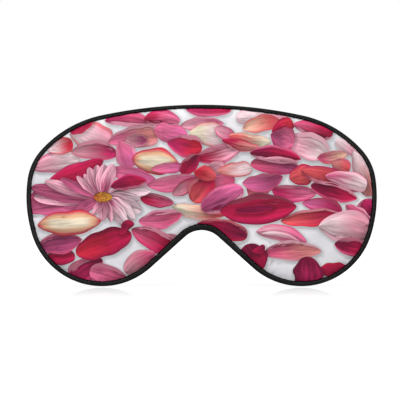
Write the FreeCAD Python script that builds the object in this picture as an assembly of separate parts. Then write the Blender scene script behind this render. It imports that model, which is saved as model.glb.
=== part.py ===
"""Padded sleep eye mask: bound edge, printed front, soft lining and an adjustable elastic strap.

Millimetres. +X is to the right of someone facing the printed front, +Z is up and the printed
front faces -Y. The origin is the top of the nose notch, in the plane of the lining's back.
"""
import FreeCAD, Part
import math
import os

from FreeCAD import Vector

# The outline's right half, from the top middle round to the nose notch: (radius, degrees).
BROW_ARC = (280.0, 12.1)
SHOULDER_ARC = (65.5, 36.1)
TEMPLE_ARC = (31.9, 34.1)
SIDE_ARC = (76.0, 24.35)
LOBE_ARC = (42.7, 115.3)
NOTCH_RADIUS = 14.2

# Depths along Y. The seam is the middle plane of the bound edge.
LINING_BACK_Y = 0.0
SEAM_Y = -4.2
FRONT_CROWN_Y = -9.6
CLOTH = 0.35
CORE = 0.5
PLY_GAP = 0.05
WADDING_GAP = 0.1
CUSHION_INSET = 3.1
FRONT_ROUNDING = 4.4
BACK_ROUNDING = 3.3

# The binding: a folded tape round the raw edges.
BINDING_WIDTH = 2.9
BINDING_THICK = 3.4
BINDING_ROUNDING = 1.5
BINDING_WALL = 0.9
BINDING_SLOT = 1.9
RAW_EDGE_INSET = 1.0
THREAD = 0.3
THREAD_HEIGHT = 0.23
STITCH_INSET = 2.2
BASTING_INSET = 1.6
LAP_LENGTH = 7.0
LAP_HEIGHT = 0.28
LAP_X = -34.0

# The elastic strap.
STRAP_WIDTH = 15.0
STRAP_THICK = 1.0
STRAP_Z = 17.6
STRAP_X = 97.6
SEWN_X = 100.4
SEWN_LIFT = 1.2
SEWN_BEND = 1.2
POCKET_HEIGHT = 2.6
POCKET_LENGTH = 19.0
RELIEF_X = 96.1
STRAIGHT_END_Y = 64.0
CORNER_ARC = (30.0, 60.0)

# The tape tab, the ring and the slider, all on the +X side.
TAPE_THICK = 0.5
TAB_BEND = 0.75
WIRE = 1.6
FIT = 0.1
RING_FRONT_Y = 12.0
RING_PITCH = 6.5
TURN_END_Y = 20.5
FRAME_GAP = 0.5
RAIL = 1.6
SLIDER_Y = 38.0
BAR_THICK = 1.2
OUTER_BAR = 1.6
CENTRE_BAR = 2.0
SLOT = 3.6
FOLD_START_Y = 27.0

# Bar tacks and the blank care label.
TACK_LENGTH = 11.0
TACK_WIDTH = 1.6
TACK_HEIGHT = 0.25
LABEL_WIDTH = 18.0
LABEL_HEIGHT = 15.0
LABEL_THICK = 0.12
LABEL_SINK = 0.16
LABEL_X = -59.5
LABEL_Z = -17.5

STRAP_LOW = STRAP_Z - STRAP_WIDTH / 2
STRAP_HIGH = STRAP_Z + STRAP_WIDTH / 2
RING_X = STRAP_X - (WIRE + STRAP_THICK) / 2 - FIT
RETURN_X = RING_X - (WIRE + STRAP_THICK) / 2 - FIT
FOLD_TOP_X = STRAP_X - STRAP_THICK - FIT
CENTRE_BAR_X = FOLD_TOP_X - (STRAP_THICK + BAR_THICK) / 2 - FIT
FOLD_BASE_X = CENTRE_BAR_X - (STRAP_THICK + BAR_THICK) / 2 - FIT
OUTER_BAR_X = STRAP_X + (STRAP_THICK + BAR_THICK) / 2 + FIT
FAR = 400.0


# ---- outline, plates and cushions ---------------------------------------------------------

def half_outline(inset):
    """Pieces of the right half, top middle to notch: each a start, a middle or None, an end."""
    x, z, heading = 0.0, 0.0, 0.0
    pieces = []
    for radius, degrees in (BROW_ARC, SHOULDER_ARC, TEMPLE_ARC, SIDE_ARC, LOBE_ARC):
        r = radius - inset
        cx = x - r * math.sin(heading)
        cz = z - r * math.cos(heading)
        turn = math.radians(degrees)
        middle = (cx + r * math.sin(heading + turn / 2), cz + r * math.cos(heading + turn / 2))
        end = (cx + r * math.sin(heading + turn), cz + r * math.cos(heading + turn))
        pieces.append(((x, z), middle, end))
        x, z = end
        heading += turn
    back = heading - math.pi
    r = NOTCH_RADIUS + inset
    flank = (x - r * math.sin(back)) / math.cos(back)
    start = (x, z)
    x += flank * math.cos(heading)
    z -= flank * math.sin(heading)
    pieces.append((start, None, (x, z)))
    apex_z = z + r * (1 - math.cos(back))
    middle = (r * math.sin(back / 2), apex_z - r * (1 - math.cos(back / 2)))
    pieces.append(((x, z), middle, (0.0, apex_z)))
    rise = inset - apex_z
    return [tuple(p and (p[0], p[1] + rise) for p in piece) for piece in pieces]


def outline_face(inset, y):
    """Flat face of the whole outline, moved in from the edge by inset."""
    edges = []
    for side in (1, -1):
        for start, middle, end in half_outline(inset):
            a, b = Vector(side * start[0], y, start[1]), Vector(side * end[0], y, end[1])
            if middle is None:
                edges.append(Part.LineSegment(a, b).toShape())
            else:
                m = Vector(side * middle[0], y, middle[1])
                edges.append(Part.Arc(a, m, b).toShape())
    return Part.Face(Part.Wire(Part.__sortEdges__(edges)))


def plate(inset, y_low, y_high):
    return outline_face(inset, y_low).extrude(Vector(0, y_high - y_low, 0))


def rim_edges(shape, y):
    def level(edge):
        return abs(edge.BoundBox.YMin - y) < 1e-4 and abs(edge.BoundBox.YMax - y) < 1e-4
    return [edge for edge in shape.Edges if level(edge)]


def cushion(inset, y_base, y_crown, rounding):
    """Plate with the rim of its crown face rounded off."""
    body = plate(inset, min(y_base, y_crown), max(y_base, y_crown))
    return body.makeFillet(rounding, rim_edges(body, y_crown))


def block(x_low, x_high, y_low, y_high, z_low, z_high):
    return Part.makeBox(
        x_high - x_low, y_high - y_low, z_high - z_low, Vector(x_low, y_low, z_low)
    )


def side_block(side, x_low, x_high, y_low, y_high, half_height):
    """Block at strap height on the side given: 1 is +X and -1 is -X."""
    low, high = sorted((side * x_low, side * x_high))
    return block(low, high, y_low, y_high, STRAP_Z - half_height, STRAP_Z + half_height)


# ---- flat bands that bend about Z ---------------------------------------------------------

def offset_corners(points, distance):
    """The points of a polyline moved to its left by distance, with mitred corners."""
    moved = []
    for i, p in enumerate(points):
        normals = []
        for a, b in ((i - 1, i), (i, i + 1)):
            if a >= 0 and b < len(points):
                run = points[b] - points[a]
                run.normalize()
                normals.append(Vector(-run.y, run.x, 0))
        total = normals[0] + normals[-1]
        moved.append(p + total * (2 * distance / total.dot(total)))
    return moved


def turns_left(a, b, c):
    return (b - a).cross(c - b).z > 0


def rounded_edges(points, radii):
    """Lines and tangent arcs along a polyline; radii are those of its inner corners."""
    edges = []
    at = points[0]
    for i, r in enumerate(radii):
        a, b, c = points[i], points[i + 1], points[i + 2]
        into = (b - a).normalize()
        out = (c - b).normalize()
        turn = into.getAngle(out)
        reach = r * math.tan(turn / 2)
        first, last = b - into * reach, b + out * reach
        to_centre = (out - into).normalize()
        middle = b + to_centre * (r / math.cos(turn / 2) - r)
        if (first - at).Length > 1e-6:
            edges.append(Part.LineSegment(at, first).toShape())
        edges.append(Part.Arc(first, middle, last).toShape())
        at = last
    if (points[-1] - at).Length > 1e-6:
        edges.append(Part.LineSegment(at, points[-1]).toShape())
    return edges


def band(route, radii, thick, low=STRAP_LOW, high=STRAP_HIGH):
    """Strip of even thickness along a route in X and Y, standing between two heights."""
    points = [Vector(x, y, low) for x, y in route]
    sides = []
    for sign in (1, -1):
        corners = offset_corners(points, sign * thick / 2)
        sized = []
        for i, r in enumerate(radii):
            left = turns_left(*points[i:i + 3])
            sized.append(r - sign * thick / 2 if left else r + sign * thick / 2)
        sides.append((corners, rounded_edges(corners, sized)))
    edges = sides[0][1] + sides[1][1]
    for end in (0, -1):
        edges.append(Part.LineSegment(sides[0][0][end], sides[1][0][end]).toShape())
    face = Part.Face(Part.Wire(Part.__sortEdges__(edges)))
    return face.extrude(Vector(0, 0, high - low))


# ---- the padded mask ----------------------------------------------------------------------

def strap_relief():
    """Room pressed into the lining's side where each strap end comes out of the seam."""
    low = SEAM_Y + CORE / 2 + PLY_GAP + CLOTH
    half = STRAP_WIDTH / 2 + 0.4
    return side_block(1, RELIEF_X, 110, low, 5, half).fuse(side_block(-1, RELIEF_X, 110, low, 5, half))


def front_panel():
    base = SEAM_Y - CORE / 2 - PLY_GAP
    outer = cushion(CUSHION_INSET, base, FRONT_CROWN_Y, FRONT_ROUNDING)
    inner_crown = FRONT_CROWN_Y + CLOTH
    inner = cushion(CUSHION_INSET + CLOTH, base, inner_crown, FRONT_ROUNDING - CLOTH)
    flange = plate(RAW_EDGE_INSET, base - CLOTH, base)
    return outer.fuse(flange).cut(inner).removeSplitter()


def front_wadding():
    base = SEAM_Y - CORE / 2 - PLY_GAP
    gap = CLOTH + WADDING_GAP
    return cushion(CUSHION_INSET + gap, base, FRONT_CROWN_Y + gap, FRONT_ROUNDING - gap)


def blackout_core():
    return plate(RAW_EDGE_INSET, SEAM_Y - CORE / 2, SEAM_Y + CORE / 2)


def back_wadding():
    base = SEAM_Y + CORE / 2 + PLY_GAP
    gap = CLOTH + WADDING_GAP
    body = cushion(CUSHION_INSET + gap, base, LINING_BACK_Y - gap, BACK_ROUNDING - gap)
    return body.cut(strap_relief())


def back_lining():
    base = SEAM_Y + CORE / 2 + PLY_GAP
    outer = cushion(CUSHION_INSET, base, LINING_BACK_Y, BACK_ROUNDING)
    inner_crown = LINING_BACK_Y - CLOTH
    inner = cushion(CUSHION_INSET + CLOTH, base, inner_crown, BACK_ROUNDING - CLOTH)
    flange = plate(RAW_EDGE_INSET, base, base + CLOTH)
    shell = outer.fuse(flange).cut(inner).cut(strap_relief()).removeSplitter()
    return shell.cut(label_block(0.1, LINING_BACK_Y - LABEL_SINK, LINING_BACK_Y + 1))


def edge_binding():
    """Folded tape: a rounded rim, open inwards, with a raised pocket over each strap end."""
    half = BINDING_THICK / 2
    rim = plate(0.0, SEAM_Y - half, SEAM_Y + half)
    both = rim_edges(rim, SEAM_Y - half) + rim_edges(rim, SEAM_Y + half)
    rim = rim.makeFillet(BINDING_ROUNDING, both)
    raised = plate(0.4, SEAM_Y + 1.0, SEAM_Y + POCKET_HEIGHT)
    for side in (1, -1):
        rim = rim.fuse(raised.common(side_block(side, 90, 110, -FAR, FAR, POCKET_LENGTH / 2)))
    rim = rim.cut(plate(BINDING_WIDTH, -20, 20))
    rim = rim.cut(plate(BINDING_WALL, SEAM_Y - BINDING_SLOT / 2, SEAM_Y + BINDING_SLOT / 2))
    top = SEAM_Y + SEWN_LIFT + STRAP_THICK / 2 + 0.05
    for side in (1, -1):
        room = side_block(side, 90, SEWN_X + 0.1, SEAM_Y, top, STRAP_WIDTH / 2 + 0.2)
        rim = rim.cut(room)
    return rim.removeSplitter()


def thread_ring(inset, y_low):
    outer = plate(inset, y_low, y_low + THREAD_HEIGHT)
    return outer.cut(plate(inset + THREAD, y_low - 1, y_low + 1))


def needle_thread_front():
    return thread_ring(STITCH_INSET, SEAM_Y - BINDING_THICK / 2 - THREAD_HEIGHT - 0.01)


def bobbin_thread_back():
    ring = thread_ring(STITCH_INSET, SEAM_Y + BINDING_THICK / 2 + 0.01)
    for side in (1, -1):
        ring = ring.cut(side_block(side, 90, 110, -FAR, FAR, POCKET_LENGTH / 2 + 0.1))
    return ring


def basting_thread():
    return thread_ring(BASTING_INSET, SEAM_Y - BINDING_SLOT / 2 + 0.02)


def binding_end_fold():
    """Folded end of the binding tape, lapped over its start on the back."""
    low = SEAM_Y + BINDING_THICK / 2 + 0.01
    ring = plate(0.9, low, low + LAP_HEIGHT).cut(plate(STITCH_INSET - 0.1, -20, 20))
    return ring.common(block(LAP_X - LAP_LENGTH, LAP_X, -20, 20, -60, -20))


def label_block(margin, y_low, y_high):
    half_width = LABEL_WIDTH / 2 + margin
    half_height = LABEL_HEIGHT / 2 + margin
    return block(
        LABEL_X - half_width, LABEL_X + half_width, y_low, y_high,
        LABEL_Z - half_height, LABEL_Z + half_height,
    )


def care_label():
    """Blank satin tape, flush in the hollow that it presses in the lining."""
    high = LINING_BACK_Y - (LABEL_SINK - LABEL_THICK) / 2
    return label_block(0.0, high - LABEL_THICK, high)


# ---- the elastic strap --------------------------------------------------------------------

def strap_end_left():
    """Strap end caught in the left seam, bent to run backwards."""
    y = SEAM_Y + SEWN_LIFT
    return band([(-SEWN_X, y), (-STRAP_X, y), (-STRAP_X, 1.0)], [SEWN_BEND], STRAP_THICK)


def strap_side_left():
    return band([(-STRAP_X, 1.0), (-STRAP_X, STRAIGHT_END_Y)], [], STRAP_THICK)


def strap_back():
    """Loop behind the head: a corner arc each side and one long arc between them."""
    radius, degrees = CORNER_ARC
    turn = math.radians(degrees)
    corner_x = STRAP_X - radius * (1 - math.cos(turn))
    corner_y = STRAIGHT_END_Y + radius * math.sin(turn)
    rear_radius = corner_x / math.cos(turn)
    rear_y = corner_y + rear_radius * (1 - math.sin(turn))
    faces = []
    for offset in (STRAP_THICK / 2, -STRAP_THICK / 2):
        r, big = radius + offset, rear_radius + offset
        edges = []
        for side in (1, -1):
            def place(x, y):
                return Vector(side * x, y, STRAP_LOW)
            centre_x = STRAP_X - radius
            a = place(centre_x + r, STRAIGHT_END_Y)
            m = place(centre_x + r * math.cos(turn / 2), STRAIGHT_END_Y + r * math.sin(turn / 2))
            b = place(centre_x + r * math.cos(turn), STRAIGHT_END_Y + r * math.sin(turn))
            edges.append(Part.Arc(a, m, b).toShape())
        rear_centre = rear_y - rear_radius
        left = Vector(-big * math.cos(turn), rear_centre + big * math.sin(turn), STRAP_LOW)
        right = Vector(-left.x, left.y, STRAP_LOW)
        top = Vector(0, rear_centre + big, STRAP_LOW)
        edges.append(Part.Arc(left, top, right).toShape())
        faces.append(edges)
    ends = []
    for side in (1, -1):
        a = Vector(side * (STRAP_X + STRAP_THICK / 2), STRAIGHT_END_Y, STRAP_LOW)
        b = Vector(side * (STRAP_X - STRAP_THICK / 2), STRAIGHT_END_Y, STRAP_LOW)
        ends.append(Part.LineSegment(a, b).toShape())
    wire = Part.Wire(Part.__sortEdges__(faces[0] + faces[1] + ends))
    return Part.Face(wire).extrude(Vector(0, 0, STRAP_WIDTH))


def strap_side_right():
    return band([(STRAP_X, TURN_END_Y), (STRAP_X, STRAIGHT_END_Y)], [], STRAP_THICK)


def strap_ring_turn():
    """The strap going round the ring's rear bar."""
    apex = RING_FRONT_Y + RING_PITCH - (WIRE + STRAP_THICK) / 2 - FIT
    route = [(STRAP_X, TURN_END_Y), (STRAP_X, apex), (RETURN_X, apex), (RETURN_X, TURN_END_Y)]
    radius = (STRAP_X - RETURN_X) / 2
    return band(route, [radius, radius], STRAP_THICK)


def strap_return():
    """Doubled run between the ring and the slider."""
    route = [
        (RETURN_X, TURN_END_Y), (RETURN_X, TURN_END_Y + 1.6),
        (FOLD_BASE_X, FOLD_START_Y - 1.6), (FOLD_BASE_X, FOLD_START_Y),
    ]
    return band(route, [6.0, 6.0], STRAP_THICK)


def strap_end_fold():
    """Strap end folded round the slider's centre bar and laid back on itself."""
    radius = (FOLD_TOP_X - FOLD_BASE_X) / 2
    apex = SLIDER_Y + CENTRE_BAR / 2 - BAR_THICK / 2 + radius
    lapped_x = FOLD_BASE_X + STRAP_THICK + PLY_GAP
    route = [
        (FOLD_BASE_X, FOLD_START_Y), (FOLD_BASE_X, apex), (FOLD_TOP_X, apex),
        (FOLD_TOP_X, SLIDER_Y - 2.0), (lapped_x, SLIDER_Y - 5.5), (lapped_x, FOLD_START_Y + 1.5),
    ]
    return band(route, [radius, radius, 2.5, 2.5], STRAP_THICK)


# ---- tab, ring and slider -----------------------------------------------------------------

def strap_tab():
    """Tape looped round the ring's front bar, with both ends in the right seam."""
    loop = (WIRE + TAPE_THICK) / 2 + FIT
    apex = RING_FRONT_Y + loop
    near, far = RING_X - loop, RING_X + loop
    low_y = SEAM_Y + 0.93
    high_y = low_y + TAPE_THICK + PLY_GAP
    near_run, far_run = 96.6, 96.6 + TAPE_THICK + PLY_GAP
    route = [
        (SEWN_X, low_y), (near_run, low_y), (near_run, 4.5), (near, 10.0), (near, apex),
        (far, apex), (far, 10.0), (far_run, 4.5), (far_run, high_y), (SEWN_X, high_y),
    ]
    outer = TAB_BEND + TAPE_THICK + PLY_GAP
    return band(route, [outer, 5.0, 3.0, loop, loop, 3.0, 5.0, TAB_BEND], TAPE_THICK)


def strap_ring():
    """Rectangular wire ring standing along the strap."""
    half = STRAP_WIDTH / 2 + FRAME_GAP + WIRE / 2
    rear_y = RING_FRONT_Y + RING_PITCH
    corners = [
        Vector(RING_X, RING_FRONT_Y, STRAP_Z - half), Vector(RING_X, rear_y, STRAP_Z - half),
        Vector(RING_X, rear_y, STRAP_Z + half), Vector(RING_X, RING_FRONT_Y, STRAP_Z + half),
    ]
    bend = 1.0
    edges = []
    for i in range(4):
        a, b, c = corners[i - 1], corners[i], corners[(i + 1) % 4]
        into, out = (b - a).normalize(), (c - b).normalize()
        centre = b - into * bend + out * bend
        middle = centre + (b - centre).normalize() * bend
        edges.append(Part.Arc(b - into * bend, middle, b + out * bend).toShape())
        edges.append(Part.LineSegment(b + out * bend, c - out * bend).toShape())
    path = Part.Wire(Part.__sortEdges__(edges))
    start = Vector(RING_X, (RING_FRONT_Y + rear_y) / 2, STRAP_Z - half)
    circle = Part.Circle(start, Vector(0, 1, 0), WIRE / 2).toShape()
    return path.makePipeShell([Part.Wire(circle)], True, False)


def strap_slider():
    """Three-bar slide: its outer bars lie outside the strap and its centre bar inside."""
    inner_half = STRAP_WIDTH / 2 + FRAME_GAP
    half_length = CENTRE_BAR / 2 + SLOT + OUTER_BAR
    x_low, x_high = CENTRE_BAR_X - BAR_THICK / 2, OUTER_BAR_X + BAR_THICK / 2
    body = None
    for sign in (1, -1):
        low, high = sorted((STRAP_Z + sign * inner_half, STRAP_Z + sign * (inner_half + RAIL)))
        rail = block(x_low, x_high, SLIDER_Y - half_length, SLIDER_Y + half_length, low, high)
        long_edges = [e for e in rail.Edges if e.BoundBox.ZLength > RAIL / 2]
        rail = rail.makeFillet(1.4, long_edges)
        body = rail if body is None else body.fuse(rail)
    reach = inner_half + RAIL / 2
    for y, width, x in (
        (SLIDER_Y - half_length + OUTER_BAR / 2, OUTER_BAR, OUTER_BAR_X),
        (SLIDER_Y, CENTRE_BAR, CENTRE_BAR_X),
        (SLIDER_Y + half_length - OUTER_BAR / 2, OUTER_BAR, OUTER_BAR_X),
    ):
        bar = block(
            x - BAR_THICK / 2, x + BAR_THICK / 2, y - width / 2, y + width / 2,
            STRAP_Z - reach, STRAP_Z + reach,
        )
        long_edges = [e for e in bar.Edges if e.BoundBox.ZLength > reach]
        body = body.fuse(bar.makeFillet(BAR_THICK / 2 - 0.05, long_edges))
    return body.removeSplitter()


# ---- bar tacks ----------------------------------------------------------------------------

def tack_across_x(x_low, y):
    """Stitched bar lying on a face whose normal is along X."""
    bar = block(
        x_low, x_low + TACK_HEIGHT, y - TACK_WIDTH / 2, y + TACK_WIDTH / 2,
        STRAP_Z - TACK_LENGTH / 2, STRAP_Z + TACK_LENGTH / 2,
    )
    ends = [e for e in bar.Edges if e.BoundBox.XLength > TACK_HEIGHT / 2]
    return bar.makeFillet(TACK_WIDTH / 2 - 0.05, ends)


def tack_on_pocket(side):
    """Stitched bar on the raised pocket of the binding."""
    low = SEAM_Y + POCKET_HEIGHT + 0.01
    centre = side * 100.15
    bar = block(
        centre - TACK_WIDTH / 2, centre + TACK_WIDTH / 2, low, low + TACK_HEIGHT,
        STRAP_Z - TACK_LENGTH / 2, STRAP_Z + TACK_LENGTH / 2,
    )
    ends = [e for e in bar.Edges if e.BoundBox.YLength > TACK_HEIGHT / 2]
    return bar.makeFillet(TACK_WIDTH / 2 - 0.05, ends)


def tab_tacks():
    near = 96.6 - TAPE_THICK / 2 - TACK_HEIGHT - 0.01
    far = 96.6 + TAPE_THICK * 1.5 + PLY_GAP + 0.01
    return Part.makeCompound([tack_on_pocket(1), tack_across_x(near, 2.2), tack_across_x(far, 2.2)])


def slider_tacks():
    below = FOLD_BASE_X - STRAP_THICK / 2 - TACK_HEIGHT - 0.01
    above = FOLD_BASE_X + STRAP_THICK * 1.5 + PLY_GAP + 0.01
    y = FOLD_START_Y + 3.2
    return Part.makeCompound([tack_across_x(below, y), tack_across_x(above, y)])


NODES = {
    "front_panel": front_panel,
    "front_wadding": front_wadding,
    "blackout_core": blackout_core,
    "back_wadding": back_wadding,
    "back_lining": back_lining,
    "edge_binding": edge_binding,
    "binding_end_fold": binding_end_fold,
    "needle_thread_front": needle_thread_front,
    "bobbin_thread_back": bobbin_thread_back,
    "basting_thread": basting_thread,
    "care_label": care_label,
    "strap_end_left": strap_end_left,
    "strap_side_left": strap_side_left,
    "strap_back": strap_back,
    "strap_side_right": strap_side_right,
    "strap_ring_turn": strap_ring_turn,
    "strap_return": strap_return,
    "strap_end_fold": strap_end_fold,
    "strap_tab": strap_tab,
    "strap_ring": strap_ring,
    "strap_slider": strap_slider,
    "end_tack_left": lambda: tack_on_pocket(-1),
    "tab_tacks": tab_tacks,
    "slider_tacks": slider_tacks,
}

os.makedirs("parts", exist_ok=True)
for name, make in NODES.items():
    shape = make()
    shape.exportStep("parts/" + name + ".step")
    box = shape.BoundBox
    print(
        f"{name:20s} solids {len(shape.Solids)} valid {shape.isValid()} "
        f"volume {shape.Volume:9.1f} mm3  x {box.XMin:.1f}..{box.XMax:.1f} "
        f"y {box.YMin:.1f}..{box.YMax:.1f} z {box.ZMin:.1f}..{box.ZMax:.1f}"
    )
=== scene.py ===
import math
import random
from functools import reduce

import bmesh
import bpy
import numpy as np
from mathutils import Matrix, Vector, noise
from mathutils.bvhtree import BVHTree
from mathutils.geometry import delaunay_2d_cdt


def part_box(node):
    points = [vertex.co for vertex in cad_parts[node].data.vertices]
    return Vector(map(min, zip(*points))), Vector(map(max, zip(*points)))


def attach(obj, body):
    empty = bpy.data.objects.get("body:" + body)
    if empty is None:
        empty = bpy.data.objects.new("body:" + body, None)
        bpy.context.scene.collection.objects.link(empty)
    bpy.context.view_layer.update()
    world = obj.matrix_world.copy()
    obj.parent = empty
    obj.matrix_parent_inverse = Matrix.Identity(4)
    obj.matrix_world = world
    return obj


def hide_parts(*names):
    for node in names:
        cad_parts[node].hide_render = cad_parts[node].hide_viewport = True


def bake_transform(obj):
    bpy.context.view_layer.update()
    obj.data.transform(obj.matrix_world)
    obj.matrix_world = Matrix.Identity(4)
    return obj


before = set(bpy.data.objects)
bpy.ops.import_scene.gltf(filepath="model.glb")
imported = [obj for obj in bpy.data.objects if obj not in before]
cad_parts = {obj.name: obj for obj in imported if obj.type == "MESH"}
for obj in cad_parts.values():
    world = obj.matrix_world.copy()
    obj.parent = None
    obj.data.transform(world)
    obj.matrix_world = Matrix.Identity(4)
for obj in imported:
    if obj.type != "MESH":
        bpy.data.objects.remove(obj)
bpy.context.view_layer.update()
MM = 0.001


# ---- Studio ---------------------------------------------------------------------------------
# The mask stands on its two lobes on a white table top, polished where it stands and duller
# further out. Two soft lamps and a white room light it, and the camera faces the printed front.
LOW_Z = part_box("edge_binding")[0].z
SEAM_Y = (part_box("blackout_core")[0].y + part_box("blackout_core")[1].y) / 2
EYE = Vector((-0.95 * MM, SEAM_Y - 1.2, LOW_Z + 50.35 * MM))
VIEW_WIDTH = 0.2336
SENSOR = 36.0
ROOM_LIGHT = 0.72
GLASS_GAP = 0.45 * MM
POLISH_REACH = (0.02, 0.26)
POLISH = 0.35
POLISH_WIDE = (0.3, 1, 1)
TABLE_GLOW = (0.26, 1.3)
GLOW_SHARE = 0.75
TABLE_SIZE = 12
WHITE = (1, 1, 1, 1)


def node(tree, kind, inputs=None, **settings):
    """A new node; each input is given a value, or is linked where it is given a socket."""
    made = tree.nodes.new(kind)
    for name, value in settings.items():
        setattr(made, name, value)
    for key, value in (inputs or {}).items():
        if isinstance(value, bpy.types.NodeSocket):
            tree.links.new(value, made.inputs[key])
        else:
            made.inputs[key].default_value = value
    return made


def bare_tree(holder):
    """The emptied node tree of a material or world."""
    holder.use_nodes = True
    tree = holder.node_tree
    tree.nodes.clear()
    return tree


def new_material(name):
    material = bpy.data.materials.new(name)
    return material, bare_tree(material)


def finish(tree, inputs):
    """Ends a material with one surface shader, whose inputs are given."""
    skin = node(tree, "ShaderNodeBsdfPrincipled", inputs)
    node(tree, "ShaderNodeOutputMaterial", {"Surface": skin.outputs[0]})


def new_group(name, inputs, outputs):
    """An empty shader group with its sockets: (name, kind, default) each."""
    group = bpy.data.node_groups.new(name, "ShaderNodeTree")
    for way, sockets in (("INPUT", inputs), ("OUTPUT", outputs)):
        for label, kind, *default in sockets:
            socket = group.interface.new_socket(label, in_out=way, socket_type="NodeSocket" + kind)
            if default:
                socket.default_value = default[0]
    return group, node(group, "NodeGroupInput").outputs, node(group, "NodeGroupOutput").inputs


def calc(tree, operation, *values):
    return node(tree, "ShaderNodeMath", dict(enumerate(values)), operation=operation).outputs[0]


def plus(tree, *values):
    return reduce(lambda a, b: calc(tree, "ADD", a, b), values)


def times(tree, *values):
    return reduce(lambda a, b: calc(tree, "MULTIPLY", a, b), values)


def minus(tree, a, b):
    return calc(tree, "SUBTRACT", a, b)


def sine_of(tree, value, rate):
    return calc(tree, "SINE", times(tree, value, rate))


def span(tree, value, to_low, to_high, low=0.0, high=1.0, **settings):
    """A value moved evenly from one range into another."""
    limits = {0: value, 1: low, 2: high, 3: to_low, 4: to_high}
    return node(tree, "ShaderNodeMapRange", limits, **settings).outputs[0]


def ramp(tree, value, low, high, to_low=0.0, to_high=1.0):
    """A value moved from one range into another, with soft ends."""
    return span(tree, value, to_low, to_high, low, high, interpolation_type="SMOOTHSTEP")


def blend_colours(tree, share, a, b, mode="MIX"):
    made = node(tree, "ShaderNodeMix", {0: share, 6: a, 7: b}, data_type="RGBA", blend_type=mode)
    return made.outputs[2]


def grey(tree, value):
    return node(tree, "ShaderNodeCombineColor", {0: value, 1: value, 2: value}).outputs[0]


def places_in(tree):
    return node(tree, "ShaderNodeTexCoord").outputs["Object"]


def parts_of(tree, vector):
    return node(tree, "ShaderNodeSeparateXYZ", {0: vector}).outputs


def cloudy(tree, where, scale, detail):
    """Soft random value from 0 to 1 over places."""
    return node(tree, "ShaderNodeTexNoise", {"Vector": where, "Scale": scale, "Detail": detail}).outputs[0]


def bumped(tree, strength, distance, height):
    values = {"Strength": strength, "Distance": distance, "Height": height}
    return node(tree, "ShaderNodeBump", values).outputs[0]


def camera_sees(tree, value, other):
    """One value where the camera looks straight at it, and the other one to all other light."""
    return span(tree, node(tree, "ShaderNodeLightPath").outputs["Is Camera Ray"], other, value)


def select_only(piece):
    bpy.ops.object.select_all(action="DESELECT")
    bpy.context.view_layer.objects.active = piece
    piece.select_set(True)


def face_outwards():
    """Turns the selected piece's faces so that they all look out."""
    bpy.ops.object.mode_set(mode="EDIT")
    bpy.ops.mesh.select_all(action="SELECT")
    bpy.ops.mesh.normals_make_consistent(inside=False)
    bpy.ops.object.mode_set(mode="OBJECT")


def apply(piece, kind, **settings):
    """Adds a modifier to the selected piece and makes it permanent."""
    modifier = piece.modifiers.new(kind.title(), kind)
    for name, value in settings.items():
        setattr(modifier, name, value)
    bpy.ops.object.modifier_apply(modifier=modifier.name)


def new_object(name, data):
    made = bpy.data.objects.new(name, data)
    bpy.context.collection.objects.link(made)
    return made


def new_piece(name, places, faces):
    """A smooth mesh object from its points and faces."""
    mesh = bpy.data.meshes.new(name)
    mesh.from_pydata(places, [], faces)
    mesh.shade_smooth()
    return new_object(name, mesh)


camera_data = bpy.data.cameras.new("camera")
camera_data.sensor_width = SENSOR
camera_data.lens = SENSOR * (SEAM_Y - EYE.y) / VIEW_WIDTH
camera_data.dof.use_dof = False
camera = new_object("camera", camera_data)
camera.location = EYE
camera.rotation_euler = (math.radians(90), 0, 0)
bpy.context.scene.camera = camera
bpy.context.scene.view_settings.view_transform = "Standard"

world = bpy.data.worlds.new("white_room")
bpy.context.scene.world = world
tree = bare_tree(world)
strength = camera_sees(tree, 1.0, ROOM_LIGHT)
room = node(tree, "ShaderNodeBackground", {"Color": WHITE, "Strength": strength})
node(tree, "ShaderNodeOutputWorld", {"Surface": room.outputs[0]})

# Name, place, width in metres and power in watts of each lamp, all aimed at the origin.
LAMPS = (("key_lamp", (-0.16, -0.46, 0.52), 0.5, 2.6), ("rear_lamp", (0.8, 1.3, 1.2), 1.0, 9.0))
for name, place, width, power in LAMPS:
    lamp_data = bpy.data.lights.new(name, "AREA")
    lamp_data.size = width
    lamp_data.energy = power
    lamp = new_object(name, lamp_data)
    lamp.location = place
    lamp.rotation_euler = (-Vector(place)).to_track_quat("-Z", "Y").to_euler()
    lamp.visible_camera = False

bpy.ops.object.select_all(action="DESELECT")
bpy.ops.mesh.primitive_plane_add(size=TABLE_SIZE, location=(0, 0, LOW_Z - GLASS_GAP))
table_top = bpy.context.object
table_top.name = "table_top"
table_white, tree = new_material("table_white")
chalk = node(tree, "ShaderNodeBsdfDiffuse", {"Color": (0.9, 0.9, 0.9, 1)})
strength = camera_sees(tree, TABLE_GLOW[1], TABLE_GLOW[0])
glow = node(tree, "ShaderNodeEmission", {"Color": WHITE, "Strength": strength})
polish = node(tree, "ShaderNodeBsdfAnisotropic", {"Color": WHITE, "Roughness": 0.03})
place = node(tree, "ShaderNodeVectorMath", {0: places_in(tree), 1: POLISH_WIDE}, operation="MULTIPLY")
away = node(tree, "ShaderNodeVectorMath", {0: place.outputs[0]}, operation="LENGTH").outputs["Value"]
polished = span(tree, away, POLISH, 0.0, *POLISH_REACH)
body = node(tree, "ShaderNodeMixShader", {0: GLOW_SHARE, 1: chalk.outputs[0], 2: glow.outputs[0]})
top = node(tree, "ShaderNodeMixShader", {0: polished, 1: body.outputs[0], 2: polish.outputs[0]})
node(tree, "ShaderNodeOutputMaterial", {"Surface": top.outputs[0]})
table_top.data.materials.append(table_white)


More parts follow.
